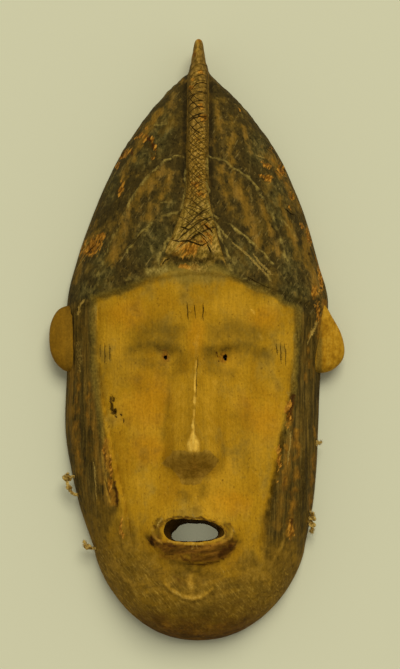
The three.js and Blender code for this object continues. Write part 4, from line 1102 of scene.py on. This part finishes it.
# Carved softwood under old paint: ochre on the face, dark smoked patina on the hood and bands, bare wood
# where hands and rope have rubbed it. It looks dry and matt, with grain that runs from crown to chin.
finish = {
    # size of each pattern in mm across, along and through the wood, and its turn in degrees
    "patterns": {
        "cloud": (30, 40, 26, 0), "blotch": (15, 20, 16, 0), "mottle": (4.5, 6, 4.5, 0),
        "fleck": (1.3, 1.7, 1.3, 0), "speck": (2.4, 2.9, 2.4, 20), "grain": (1.4, 26, 6, 0),
        "streak": (4.5, 50, 12, 0), "nick": (1.2, 8, 5, 40), "scuff": (1.4, 10, 6, -32),
        "sweep": (16, 3.6, 8, 12), "hair": (0.9, 15, 4, 4), "chip": (1.7, 4.8, 4, -28),
    },
    "detail": 4.0, "grit": 0.6,
    "gloss": 0.04, "glossColour": "#fff0c0", "roughness": 0.75, "polishedRoughness": 0.62,
    "bumpStrength": 0.45, "bumpHeight": 0.5,
    "ground": ("#261e0a", "#493a15"),
    "edgeSpan": 2.4, "contrast": (0.34, 0.66),
    # each layer: where (everywhere if empty), from, to, pattern that breaks its edge, how far, colours,
    # pattern between them, strength
    "layers": [
        ("", 0.05, 0.5, "blotch", 1.0, ("#4f4014", "#675521"), "fleck", 0.75),
        ("cool", -0.4, 0.7, "blotch", 0.9, ("#2e280f", "#453c18", "#665a2c"), "mottle", 0.85),
        ("warm", 0.0, 1.1, "mottle", 0.7, ("#50400f", "#705617", "#90702e"), "streak", 0.82),
        ("", 0.2, 0.5, "streak", 1.0, ("#564618", "#705c27"), "fleck", 0.4),
        ("", 0.14, 0.34, "speck", 1.0, ("#181306", "#261e0a"), "fleck", 0.7),
        ("", 0.2, 0.45, "nick", 1.0, ("#1c1607", "#2a220c"), "fleck", 0.6),
        ("", 0.22, 0.45, "scuff", 1.0, ("#756128", "#8f7840"), "fleck", 0.5),
        # painted shadow beside the crest
        ("besideCrestShade", 0.1, 1.0, "mottle", 0.4, ("#1a1408", "#2a210c"), "mottle", 0.75),
        ("rim", 0.1, 1.0, "mottle", 0.6, ("#251d09", "#42330e", "#5e4716"), "mottle", 0.75),
        ("onCrest", 0.3, 0.7, "mottle", 0.1, ("#5a430e", "#805f1a", "#a37f38"), "fleck", 1.0),
        ("upperCrest", 0.3, 0.7, "mottle", 0.2, ("#40310d", "#70541b", "#9c7832"), "speck", 0.8),
        # painted shadow on the crest's sides
        ("crestSideShade", 0.1, 1.0, "mottle", 0.5, ("#2c210a", "#49380f"), "fleck", 0.6),
        ("flare", 0.1, 1.0, "mottle", 0.6, ("#3f3009", "#806722", "#b79344"), "chip", 0.75),
        ("band", 0.2, 0.9, "grain", 0.4, ("#2a200a", "#4a3a12", "#6d5520"), "grain", 0.85),
        ("band", 0.7, 1.6, "mottle", 1.0, ("#191305", "#32280d"), "fleck", 0.8),
        ("band", 0.9, 1.8, "streak", 1.0, ("#6d5118", "#8a6822"), "hair", 0.7),
        ("warm", 0.2, 1.2, "mottle", 0.8, ("#6c4a12", "#936a1e"), "hair", 0.6),
        ("below", 0.0, 1.0, "blotch", 0.7, ("#4e3a0c", "#735412"), "sweep", 1.0),
        ("panel", -3.0, 3.0, "mottle", 3.0, ("#94690d", "#a17612", "#ad831e"), "cloud", 1.0),
        ("face", 0.9, 1.5, "cloud", 1.0, ("#aa790e", "#b5841c"), "mottle", 0.6),
        ("face", 0.9, 1.5, "blotch", 1.0, ("#8d6f1f", "#9b7d2d"), "mottle", 0.6),
        ("face", 1.0, 1.5, "hair", 1.0, ("#7d5b10", "#8a6814"), "mottle", 0.42),
        ("face", 1.25, 1.6, "nick", 1.0, ("#c0942e", "#cca03a"), "fleck", 0.35),
        ("face", 1.2, 1.5, "fleck", 1.0, ("#745410", "#86641a"), "mottle", 0.4),
        ("face", 1.25, 1.45, "speck", 1.0, ("#62420a", "#75500e"), "fleck", 0.6),
        ("ochreCheek", -0.2, 0.8, "blotch", 1.0, ("#a26c0a", "#ae760c"), "mottle", 0.6),
        ("faceEdge", 0.1, 1.0, "mottle", 0.5, ("#564716", "#6f5d22"), "fleck", 0.65),
        ("below", 0.0, 1.1, "blotch", 0.8, ("#553f0d", "#745615", "#8f6c1f"), "mottle", 0.85),
        ("below", 0.8, 1.6, "mottle", 1.0, ("#3e2d0c", "#5a4416"), "fleck", 0.5),
        ("below", 0.75, 1.35, "sweep", 1.0, ("#4a340c", "#604814"), "fleck", 0.55),
        ("below", 0.95, 1.5, "nick", 1.0, ("#987628", "#ac8832"), "fleck", 0.62),
        # painted shade towards the chin's tip
        ("chinTipShade", 0.0, 1.0, "blotch", 0.6, ("#301b05", "#4d2f08", "#66420e"), "sweep", 0.9),
        ("browZone", 0.1, 0.9, "blotch", 0.5, ("#705d1e", "#8b7530"), "mottle", 0.65),
        # soot with painted shade in the sockets and beside the nose
        ("sootAndShade", 0.0, 1.0, "mottle", 0.3, ("#43330a", "#584410"), "mottle", 0.85),
        # dark lines, partly painted shadow under the hood's edge and at the lips
        ("brow", 0.05, 1.0, "mottle", 0.3, ("#2a1e06", "#40300b"), "fleck", 0.75),
        # under the nose: brown stain darkened with painted shade
        ("under", -0.5, 0.6, "mottle", 0.5, ("#6b4e10", "#977224"), "mottle", 0.82),
        ("eyeRim", 0.0, 0.8, "mottle", 0.5, ("#64370a", "#855210"), "fleck", 0.7),
        ("lip", 0.25, 0.8, "mottle", 0.4, ("#381f06", "#5c390c", "#86581a"), "sweep", 0.9),
        ("rust", 0.1, 0.9, "mottle", 0.5, ("#6b440a", "#9a6c1c"), "chip", 0.8),
        # dark umber marks with painted shade at the mouth
        ("umber", 0.25, 0.8, "fleck", 0.4, ("#261304", "#452508"), "fleck", 0.9),
        # painted highlights on ridges, and lighter wood
        ("soft", 0.1, 1.0, "mottle", 0.3, ("#a0761c", "#b88c2e"), "mottle", 0.82),
        # painted light on the nose's flanks
        ("noseSideLight", 0.18, 1.0, "blotch", 0.3, ("#a87b12", "#b98a20"), "mottle", 0.9),
        ("wear", -0.05, 0.45, "chip", 1.2, ("#2e1b06", "#7e4f0e", "#bc842a"), "chip", 0.92),
        ("dust", 0.1, 1.0, "mottle", 0.5, ("#7a6424", "#9a843e"), "fleck", 0.8),
        # pale wood with painted highlights
        ("paleWoodAndHighlight", 0.15, 0.9, "fleck", 0.6, ("#96742a", "#ad8c3e"), "fleck", 0.85),
        # painted highlight over polished wood
        ("polishAndHighlight", 0.1, 0.9, "mottle", 0.15, ("#dca634", "#f0c250"), "mottle", 0.95),
        ("softCut", 0.1, 0.7, "fleck", 0.1, ("#33250a", "#4a3810"), "fleck", 0.75),
        ("darkCut", 0.1, 0.7, "fleck", 0.1, ("#181004", "#261a08"), "fleck", 0.85),
        ("bareCut", 0.1, 0.7, "fleck", 0.1, ("#8d7030", "#a3883e"), "fleck", 0.75),
        ("hole", 0.0, 0.5, "fleck", 0.7, ("#1c1205", "#38260a"), "fleck", 0.9),
        ("ear", 0.2, 0.8, "fleck", 0.1, ("#885e0e", "#9f7214", "#ae8220"), "mottle", 1.0),
        # painted shade at the ears' roots
        ("earRootShade", 0.1, 0.9, "mottle", 0.3, ("#4a3c14", "#5f4e1c"), "fleck", 0.7),
        # painted shade on the left ear
        ("leftEar", 0.2, 0.8, "mottle", 0.4, ("#5f420b", "#7f5a10"), "blotch", 0.85),
        ("mouthWall", 0.2, 0.8, "fleck", 0.1, ("#1e1204", "#3c260a"), "mottle", 0.95),
        ("mouthRight", 0.2, 0.8, "fleck", 0.1, ("#3f2a0a", "#664816"), "mottle", 0.9),
        ("inside", 0.2, 0.8, "fleck", 0.1, ("#4e3a1a", "#6b5230", "#856a42"), "grain", 1.0),
    ],
}


def carvedWood():
    material, tree, surface = newMaterial("old_painted_carved_wood")
    place = addNode(tree, "ShaderNodeTexCoord", out="Object")
    pattern = {}
    for name, (across, along, through, turn) in finish["patterns"].items():
        scaled = addNode(tree, "ShaderNodeMapping", {
            "Vector": place, "Scale": [across * metre, along * metre, through * metre],
            "Rotation": (0, 0, math.radians(turn))}, vector_type="TEXTURE")
        pattern[name] = addNode(tree, "ShaderNodeTexNoise", {
            "Vector": scaled, "Scale": 1.0, "Detail": finish["detail"], "Roughness": finish["grit"]})
    dark, light = [colour(code) for code in finish["ground"]]
    base = addNode(tree, "ShaderNodeMix", {0: pattern["mottle"], 6: dark, 7: light}, 2, data_type="RGBA")
    for where, start, end, edge, reach, colours, between, strength in finish["layers"]:
        here = addNode(tree, "ShaderNodeAttribute", out="Fac", attribute_name=where) if where else 0.0
        shift = reach * finish["edgeSpan"] / 2
        broken = addNode(tree, "ShaderNodeMath", {
            0: pattern[edge], 1: 2 * shift, 2: here}, operation="MULTIPLY_ADD")
        amount = addNode(tree, "ShaderNodeMapRange", {
            "Value": broken, "From Min": start + shift, "From Max": end + shift,
            "To Max": strength}, interpolation_type="SMOOTHSTEP")
        low, high = finish["contrast"]
        contrast = addNode(tree, "ShaderNodeMapRange", {
            "Value": pattern[between], "From Min": low, "From Max": high})
        tone = addNode(tree, "ShaderNodeValToRGB", {"Fac": contrast})
        stops = tone.node.color_ramp.elements
        while len(stops) < len(colours):
            stops.new(0.5)
        for i, code in enumerate(colours):
            stops[i].position = i / (len(colours) - 1)
            stops[i].color = colour(code)
        base = addNode(tree, "ShaderNodeMix", {0: amount, 6: base, 7: tone}, 2, data_type="RGBA")
    shade, speck = [addNode(tree, "ShaderNodeMapRange", {
        "Value": pattern[name], "From Min": 0.3, "From Max": 0.7, "To Min": low, "To Max": high})
        for name, low, high in (("grain", 0.96, 1.14), ("fleck", 0.82, 1.18))]
    both = addNode(tree, "ShaderNodeMath", {0: shade, 1: speck}, operation="MULTIPLY")
    shaded = addNode(tree, "ShaderNodeVectorMath", {0: base, "Scale": both}, operation="SCALE")
    shine = addNode(tree, "ShaderNodeAttribute", out="Fac", attribute_name="polishAndHighlight")
    rubbed = addNode(tree, "ShaderNodeMapRange", {
        "Value": shine, "To Min": finish["roughness"], "To Max": finish["polishedRoughness"]})
    height = addNode(tree, "ShaderNodeMath", {
        0: pattern["fleck"], 1: 0.5, 2: pattern["grain"]}, operation="MULTIPLY_ADD")
    bump = addNode(tree, "ShaderNodeBump", {
        "Height": height, "Strength": finish["bumpStrength"], "Distance": finish["bumpHeight"] * metre})
    setInputs(tree, surface, {
        "Base Color": shaded, "Roughness": rubbed, "Normal": bump,
        "Specular IOR Level": finish["gloss"], "Specular Tint": colour(finish["glossColour"])})
    return material


def plainFloor():
    # smooth matt paper
    material, tree, surface = newMaterial("matt_paper_floor")
    setInputs(tree, surface, {
        "Base Color": colour(stage["floorColour"]), "Roughness": stage["floorRoughness"],
        "Specular IOR Level": stage["floorGloss"]})
    return material


# Broken ends of cord in the tie holes: strands twisted together, with knots and stray fibres

cords = {
    "plies": 3, "plyRadius": 0.58, "layRadius": 0.66, "twistLength": 7.5, "step": 0.5,
    "fibres": 46, "fibreLength": 2.0, "fibreRadius": 0.11, "knotThickness": 0.85,
    "frayStrands": 6, "frayLength": 2.6, "fraySpread": 0.45, "frayBend": 0.25, "frayThickness": 0.32,
    "plySides": 8, "fibreSides": 3,
    "dirtColour": "#7a5a18", "strawColour": "#bf9f4e", "dirtSize": 3.5, "fibreSize": 0.6,
    "roughness": 0.9, "gloss": 0.15,
    # each piece: its path, its knots as (middle, radius) and its frayed ends as (start, direction)
    "pieces": {
        "cord_remnant_left_upper": (
            [(-67, -98, 17), (-72, -99.5, 15.5), (-78, -100, 15), (-88, -100, 15), (-92.4, -101.2, 16.3),
             (-92.4, -105, 16.5), (-90.8, -109.5, 16), (-87.6, -112.6, 15.2), (-82, -113, 15),
             (-76, -113, 15), (-69, -112, 15.5)],
            [((-92.6, -101.2, 16.6), 3.3), ((-91.2, -108, 16.4), 1.9), ((-70.5, -99, 16), 2.3),
             ((-69.3, -112, 15.4), 2.0)],
            [((-92.4, -99.8, 17), (-0.3, 0.5, 0.8)), ((-67, -98, 17), (0.7, 0.3, 0.3))]),
        "cord_remnant_left_lower": (
            [(-54, -149, 17), (-58, -150.5, 15.5), (-64, -151, 15), (-74, -151, 15), (-77, -150, 15.6),
             (-79.4, -148.6, 16.8)],
            [((-77.4, -150.2, 15.8), 2.7), ((-56.8, -150.2, 15.8), 2.1)],
            [((-79, -148.8, 16.6), (-0.5, 0.2, 0.4)), ((-54, -149, 17), (0.7, 0.2, 0.2))]),
        "cord_remnant_right_upper": (
            [(66, -74, 17), (71, -75, 15.3), (77, -75, 15), (86.6, -75, 15)],
            [((70.5, -74.9, 15.4), 2.1)],
            [((85.6, -75, 15), (0.3, -0.4, 0.8)), ((66, -74, 17), (-0.7, 0.2, 0.2))]),
        "cord_remnant_right_lower": (
            [(61, -131, 17), (65, -132, 15.4), (71, -132, 15), (80, -132, 15), (82.6, -134, 15),
             (82, -138.5, 14.5)],
            [((82.4, -130, 15.5), 2.5), ((82.3, -134.4, 15.2), 2.3), ((64.8, -131.9, 15.5), 2.1)],
            [((82.8, -129, 15.8), (0.1, 0.9, 0.3)), ((82, -138, 14.6), (-0.1, -0.9, 0.1)),
             ((61, -131, 17), (-0.7, 0.2, 0.2))]),
    },
}


def cordTree():
    # strands that wind round a path, with stray fibres that stand off it
    tree = bpy.data.node_groups.new("twistedCord", "GeometryNodeTree")
    kinds = {
        "Path": "Geometry", "Plies": "Int", "Ply Radius": "Float", "Lay Radius": "Float",
        "Twist Length": "Float", "Step": "Float", "Fibres": "Int", "Fibre Length": "Float",
        "Fibre Radius": "Float", "Seed": "Int", "Material": "Material",
    }
    inputs = {}
    for name, kind in kinds.items():
        socket = tree.interface.new_socket(name=name, in_out="INPUT", socket_type="NodeSocket" + kind)
        inputs[name] = socket.identifier
    tree.interface.new_socket(name="Geometry", in_out="OUTPUT", socket_type="NodeSocketGeometry")
    given = addNode(tree, "NodeGroupInput").node.outputs
    path = addNode(tree, "GeometryNodeMeshToCurve", {"Mesh": given["Path"]})
    path = addNode(tree, "GeometryNodeResampleCurve", {
        "Curve": path, "Length": given["Step"]}, mode="LENGTH")
    thick = addNode(tree, "GeometryNodeInputNamedAttribute", {"Name": "thick"}, data_type="FLOAT")
    plies = addNode(tree, "GeometryNodeDuplicateElements", {
        "Geometry": path, "Amount": given["Plies"]}, domain="SPLINE")
    number = plies.node.outputs["Duplicate Index"]
    length = addNode(tree, "GeometryNodeSplineParameter", out="Length")
    turns = addNode(tree, "ShaderNodeMath", {0: length, 1: given["Twist Length"]}, operation="DIVIDE")
    own = addNode(tree, "ShaderNodeMath", {0: number, 1: given["Plies"]}, operation="DIVIDE")
    angle = addNode(tree, "ShaderNodeMath", {0: turns, 1: own}, operation="ADD")
    angle = addNode(tree, "ShaderNodeMath", {0: angle, 1: 2 * math.pi}, operation="MULTIPLY")
    normal = addNode(tree, "GeometryNodeInputNormal")
    along = addNode(tree, "GeometryNodeInputTangent")
    other = addNode(tree, "ShaderNodeVectorMath", {0: along, 1: normal}, operation="CROSS_PRODUCT")
    cosine = addNode(tree, "ShaderNodeMath", {0: angle}, operation="COSINE")
    sine = addNode(tree, "ShaderNodeMath", {0: angle}, operation="SINE")
    partA = addNode(tree, "ShaderNodeVectorMath", {0: normal, "Scale": cosine}, operation="SCALE")
    partB = addNode(tree, "ShaderNodeVectorMath", {0: other, "Scale": sine}, operation="SCALE")
    outward = addNode(tree, "ShaderNodeVectorMath", {0: partA, 1: partB}, operation="ADD")
    reach = addNode(tree, "ShaderNodeMath", {0: given["Lay Radius"], 1: thick}, operation="MULTIPLY")
    offset = addNode(tree, "ShaderNodeVectorMath", {0: outward, "Scale": reach}, operation="SCALE")
    wound = addNode(tree, "GeometryNodeSetPosition", {"Geometry": plies, "Offset": offset})
    wound = addNode(tree, "GeometryNodeSetCurveRadius", {"Curve": wound, "Radius": thick})
    section, hair = [addNode(tree, "GeometryNodeCurvePrimitiveCircle", {
        "Resolution": sides, "Radius": given[radius]})
        for sides, radius in ((cords["plySides"], "Ply Radius"), (cords["fibreSides"], "Fibre Radius"))]
    strands = addNode(tree, "GeometryNodeCurveToMesh", {
        "Curve": wound, "Profile Curve": section, "Fill Caps": True})
    fibre = addNode(tree, "GeometryNodeCurveQuadraticBezier", {
        "Resolution": 4, "Start": (0, 0, 0), "Middle": (0.25, 0, 0.5), "End": (0, 0.3, 1)})
    fibre = addNode(tree, "GeometryNodeTransform", {"Geometry": fibre, "Scale": given["Fibre Length"]})
    fibre = addNode(tree, "GeometryNodeCurveToMesh", {
        "Curve": fibre, "Profile Curve": hair, "Fill Caps": True})
    spots = addNode(tree, "GeometryNodeCurveToPoints", {
        "Curve": path, "Count": given["Fibres"]}, mode="COUNT")
    turn, size = [addNode(tree, "FunctionNodeRandomValue", {
        "Min": (low,) * 3, "Max": (high,) * 3, "Seed": given["Seed"]}, data_type="FLOAT_VECTOR")
        for low, high in ((-math.pi, math.pi), (0.4, 1.1))]
    stray = addNode(tree, "GeometryNodeInstanceOnPoints", {
        "Points": spots, "Instance": fibre, "Rotation": turn, "Scale": size})
    joined = addNode(tree, "GeometryNodeJoinGeometry", {"Geometry": strands})
    setInputs(tree, joined.node, {"Geometry": stray})
    real = addNode(tree, "GeometryNodeRealizeInstances", {"Geometry": joined})
    done = addNode(tree, "GeometryNodeSetMaterial", {"Geometry": real, "Material": given["Material"]})
    addNode(tree, "NodeGroupOutput", {"Geometry": done})
    return tree, inputs


def knotLoop(middle, radius):
    # three-lobed knot pulled tight
    t = np.linspace(0, 2 * math.pi, 40, endpoint=False)
    turns = [np.sin(t) + 2 * np.sin(2 * t), -1.3 * np.sin(3 * t), np.cos(t) - 2 * np.cos(2 * t)]
    loop = np.stack(turns, -1)
    return np.array(middle) + loop * (radius - cords["plyRadius"]) / 3


def frayLines(start, direction):
    direction = np.array(direction, float)
    direction = direction / np.linalg.norm(direction)
    lines = []
    for _ in range(cords["frayStrands"]):
        lean = direction + chance.normal(0, cords["fraySpread"], 3)
        bend = chance.normal(0, cords["frayBend"], 3)
        length = cords["frayLength"] * chance.uniform(0.4, 1)
        t = np.linspace(0, 1, 6)[:, None]
        lines.append(np.array(start) + length * t * (lean + bend * t))
    return lines


def buildCord(name, tree, inputs, material, seed):
    path, knots, frays = cords["pieces"][name]
    lines = [(lineThrough(path, 6), 1.0, False)]
    lines += [(knotLoop(*knot), cords["knotThickness"], True) for knot in knots]
    lines += [(line, cords["frayThickness"], False) for fray in frays for line in frayLines(*fray)]
    points = []
    edges = []
    thick = []
    for line, width, closed in lines:
        first = len(points)
        points += line.tolist()
        edges += [(first + i, first + i + 1) for i in range(len(line) - 1)]
        if closed:
            edges.append((len(points) - 1, first))
        thick += [width] * len(line)
    cord = makeMesh(name + "_twisted", points, [], edges=edges)
    cord.data.attributes.new("thick", "FLOAT", "POINT").data.foreach_set("value", thick)
    twist = cord.modifiers.new("twist", "NODES")
    twist.node_group = tree
    twist[inputs["Plies"]] = cords["plies"]
    twist[inputs["Fibres"]] = cords["fibres"]
    for label in ("Ply Radius", "Lay Radius", "Twist Length", "Step", "Fibre Length", "Fibre Radius"):
        key = label[0].lower() + label[1:].replace(" ", "")
        twist[inputs[label]] = cords[key] * metre
    twist[inputs["Seed"]] = seed
    twist[inputs["Material"]] = material
    applyChange(cord)
    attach(cord, "root")
    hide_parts(name)
    cord.data.calc_loop_triangles()
    print(cord.name, len(cord.data.loop_triangles), "triangles")


def plantFibre():
    # dry bast fibre rolled into string: straw colour, dirty in places, quite without shine
    material, tree, surface = newMaterial("dry_twisted_plant_fibre")
    place = addNode(tree, "ShaderNodeTexCoord", out="Object")
    dirt, fibres = [addNode(tree, "ShaderNodeTexNoise", {
        "Vector": place, "Scale": 1 / (cords[size] * metre), "Detail": 3.0})
        for size in ("dirtSize", "fibreSize")]
    dirty = addNode(tree, "ShaderNodeMapRange", {"Value": dirt, "From Min": 0.38, "From Max": 0.6})
    tone = addNode(tree, "ShaderNodeMix", {
        0: dirty, 6: colour(cords["dirtColour"]), 7: colour(cords["strawColour"])}, 2, data_type="RGBA")
    light = addNode(tree, "ShaderNodeMapRange", {
        "Value": fibres, "From Min": 0.3, "From Max": 0.7, "To Min": 0.65, "To Max": 1.3})
    shaded = addNode(tree, "ShaderNodeVectorMath", {0: tone, "Scale": light}, operation="SCALE")
    setInputs(tree, surface, {
        "Base Color": shaded, "Roughness": cords["roughness"], "Specular IOR Level": cords["gloss"]})
    return material


body = buildBody()
layPaint(body)
body.data.materials.clear()
body.data.materials.append(carvedWood())
for face in body.data.polygons:
    face.use_smooth = True
body.data.set_sharp_from_angle(angle=math.radians(shell["sharpAngle"]))
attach(body, "root")
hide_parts("mask_body")
body.data.calc_loop_triangles()
print("mask body", len(body.data.loop_triangles), "triangles")

cordNodes, cordInputs = cordTree()
fibreMaterial = plantFibre()
for seed, name in enumerate(cords["pieces"]):
    buildCord(name, cordNodes, cordInputs, fibreMaterial, seed)


# Camera, floor and light

stage = {
    "target": (2.3, 0.0, 20.0), "distance": 1500.0, "tilt": 8.0, "frameHeight": 481.7,
    "sensor": 24, "sky": 0.46,
    "floorHalf": 3000, "floorColour": "#c9c6a1", "floorRoughness": 0.9, "floorGloss": 0.1,
}
tilt = math.radians(stage["tilt"])
cameraData = bpy.data.cameras.new("camera")
cameraData.sensor_fit = "VERTICAL"
cameraData.sensor_height = stage["sensor"]
cameraData.lens = stage["sensor"] * stage["distance"] / stage["frameHeight"]
camera = addObject("camera", cameraData)
target = Vector(stage["target"])
camera.location = (target + stage["distance"] * Vector((0, -math.sin(tilt), math.cos(tilt)))) * metre
camera.rotation_euler = (tilt, 0, 0)
bpy.context.scene.camera = camera

corners = np.array([(-1, -1, 0), (1, -1, 0), (1, 1, 0), (-1, 1, 0)]) * stage["floorHalf"]
floor = makeMesh("floor", corners, [(0, 1, 2, 3)], plainFloor())

world = bpy.data.worlds.new("world")
bpy.context.scene.world = world
world.use_nodes = True
sky = world.node_tree.nodes["Background"]
setInputs(world.node_tree, sky, {"Color": (1, 1, 1, 1), "Strength": stage["sky"]})

# name, place, aim, size in mm, power
lamps = [
    ("key", (2000, 6000, 12800), (0, 0, 0), 7600, 1410),
    ("underMouth", (0, -142, 38), (0, -142, 0), 30, 0.006),
]
for name, place, aim, size, power in lamps:
    lamp = bpy.data.lights.new(name, "AREA")
    lamp.energy = power
    lamp.size = size * metre
    holder = addObject(name, lamp)
    holder.location = Vector(place) * metre
    holder.rotation_euler = (Vector(aim) - Vector(place)).to_track_quat("-Z", "Y").to_euler()

bpy.context.scene.view_settings.view_transform = "Standard"
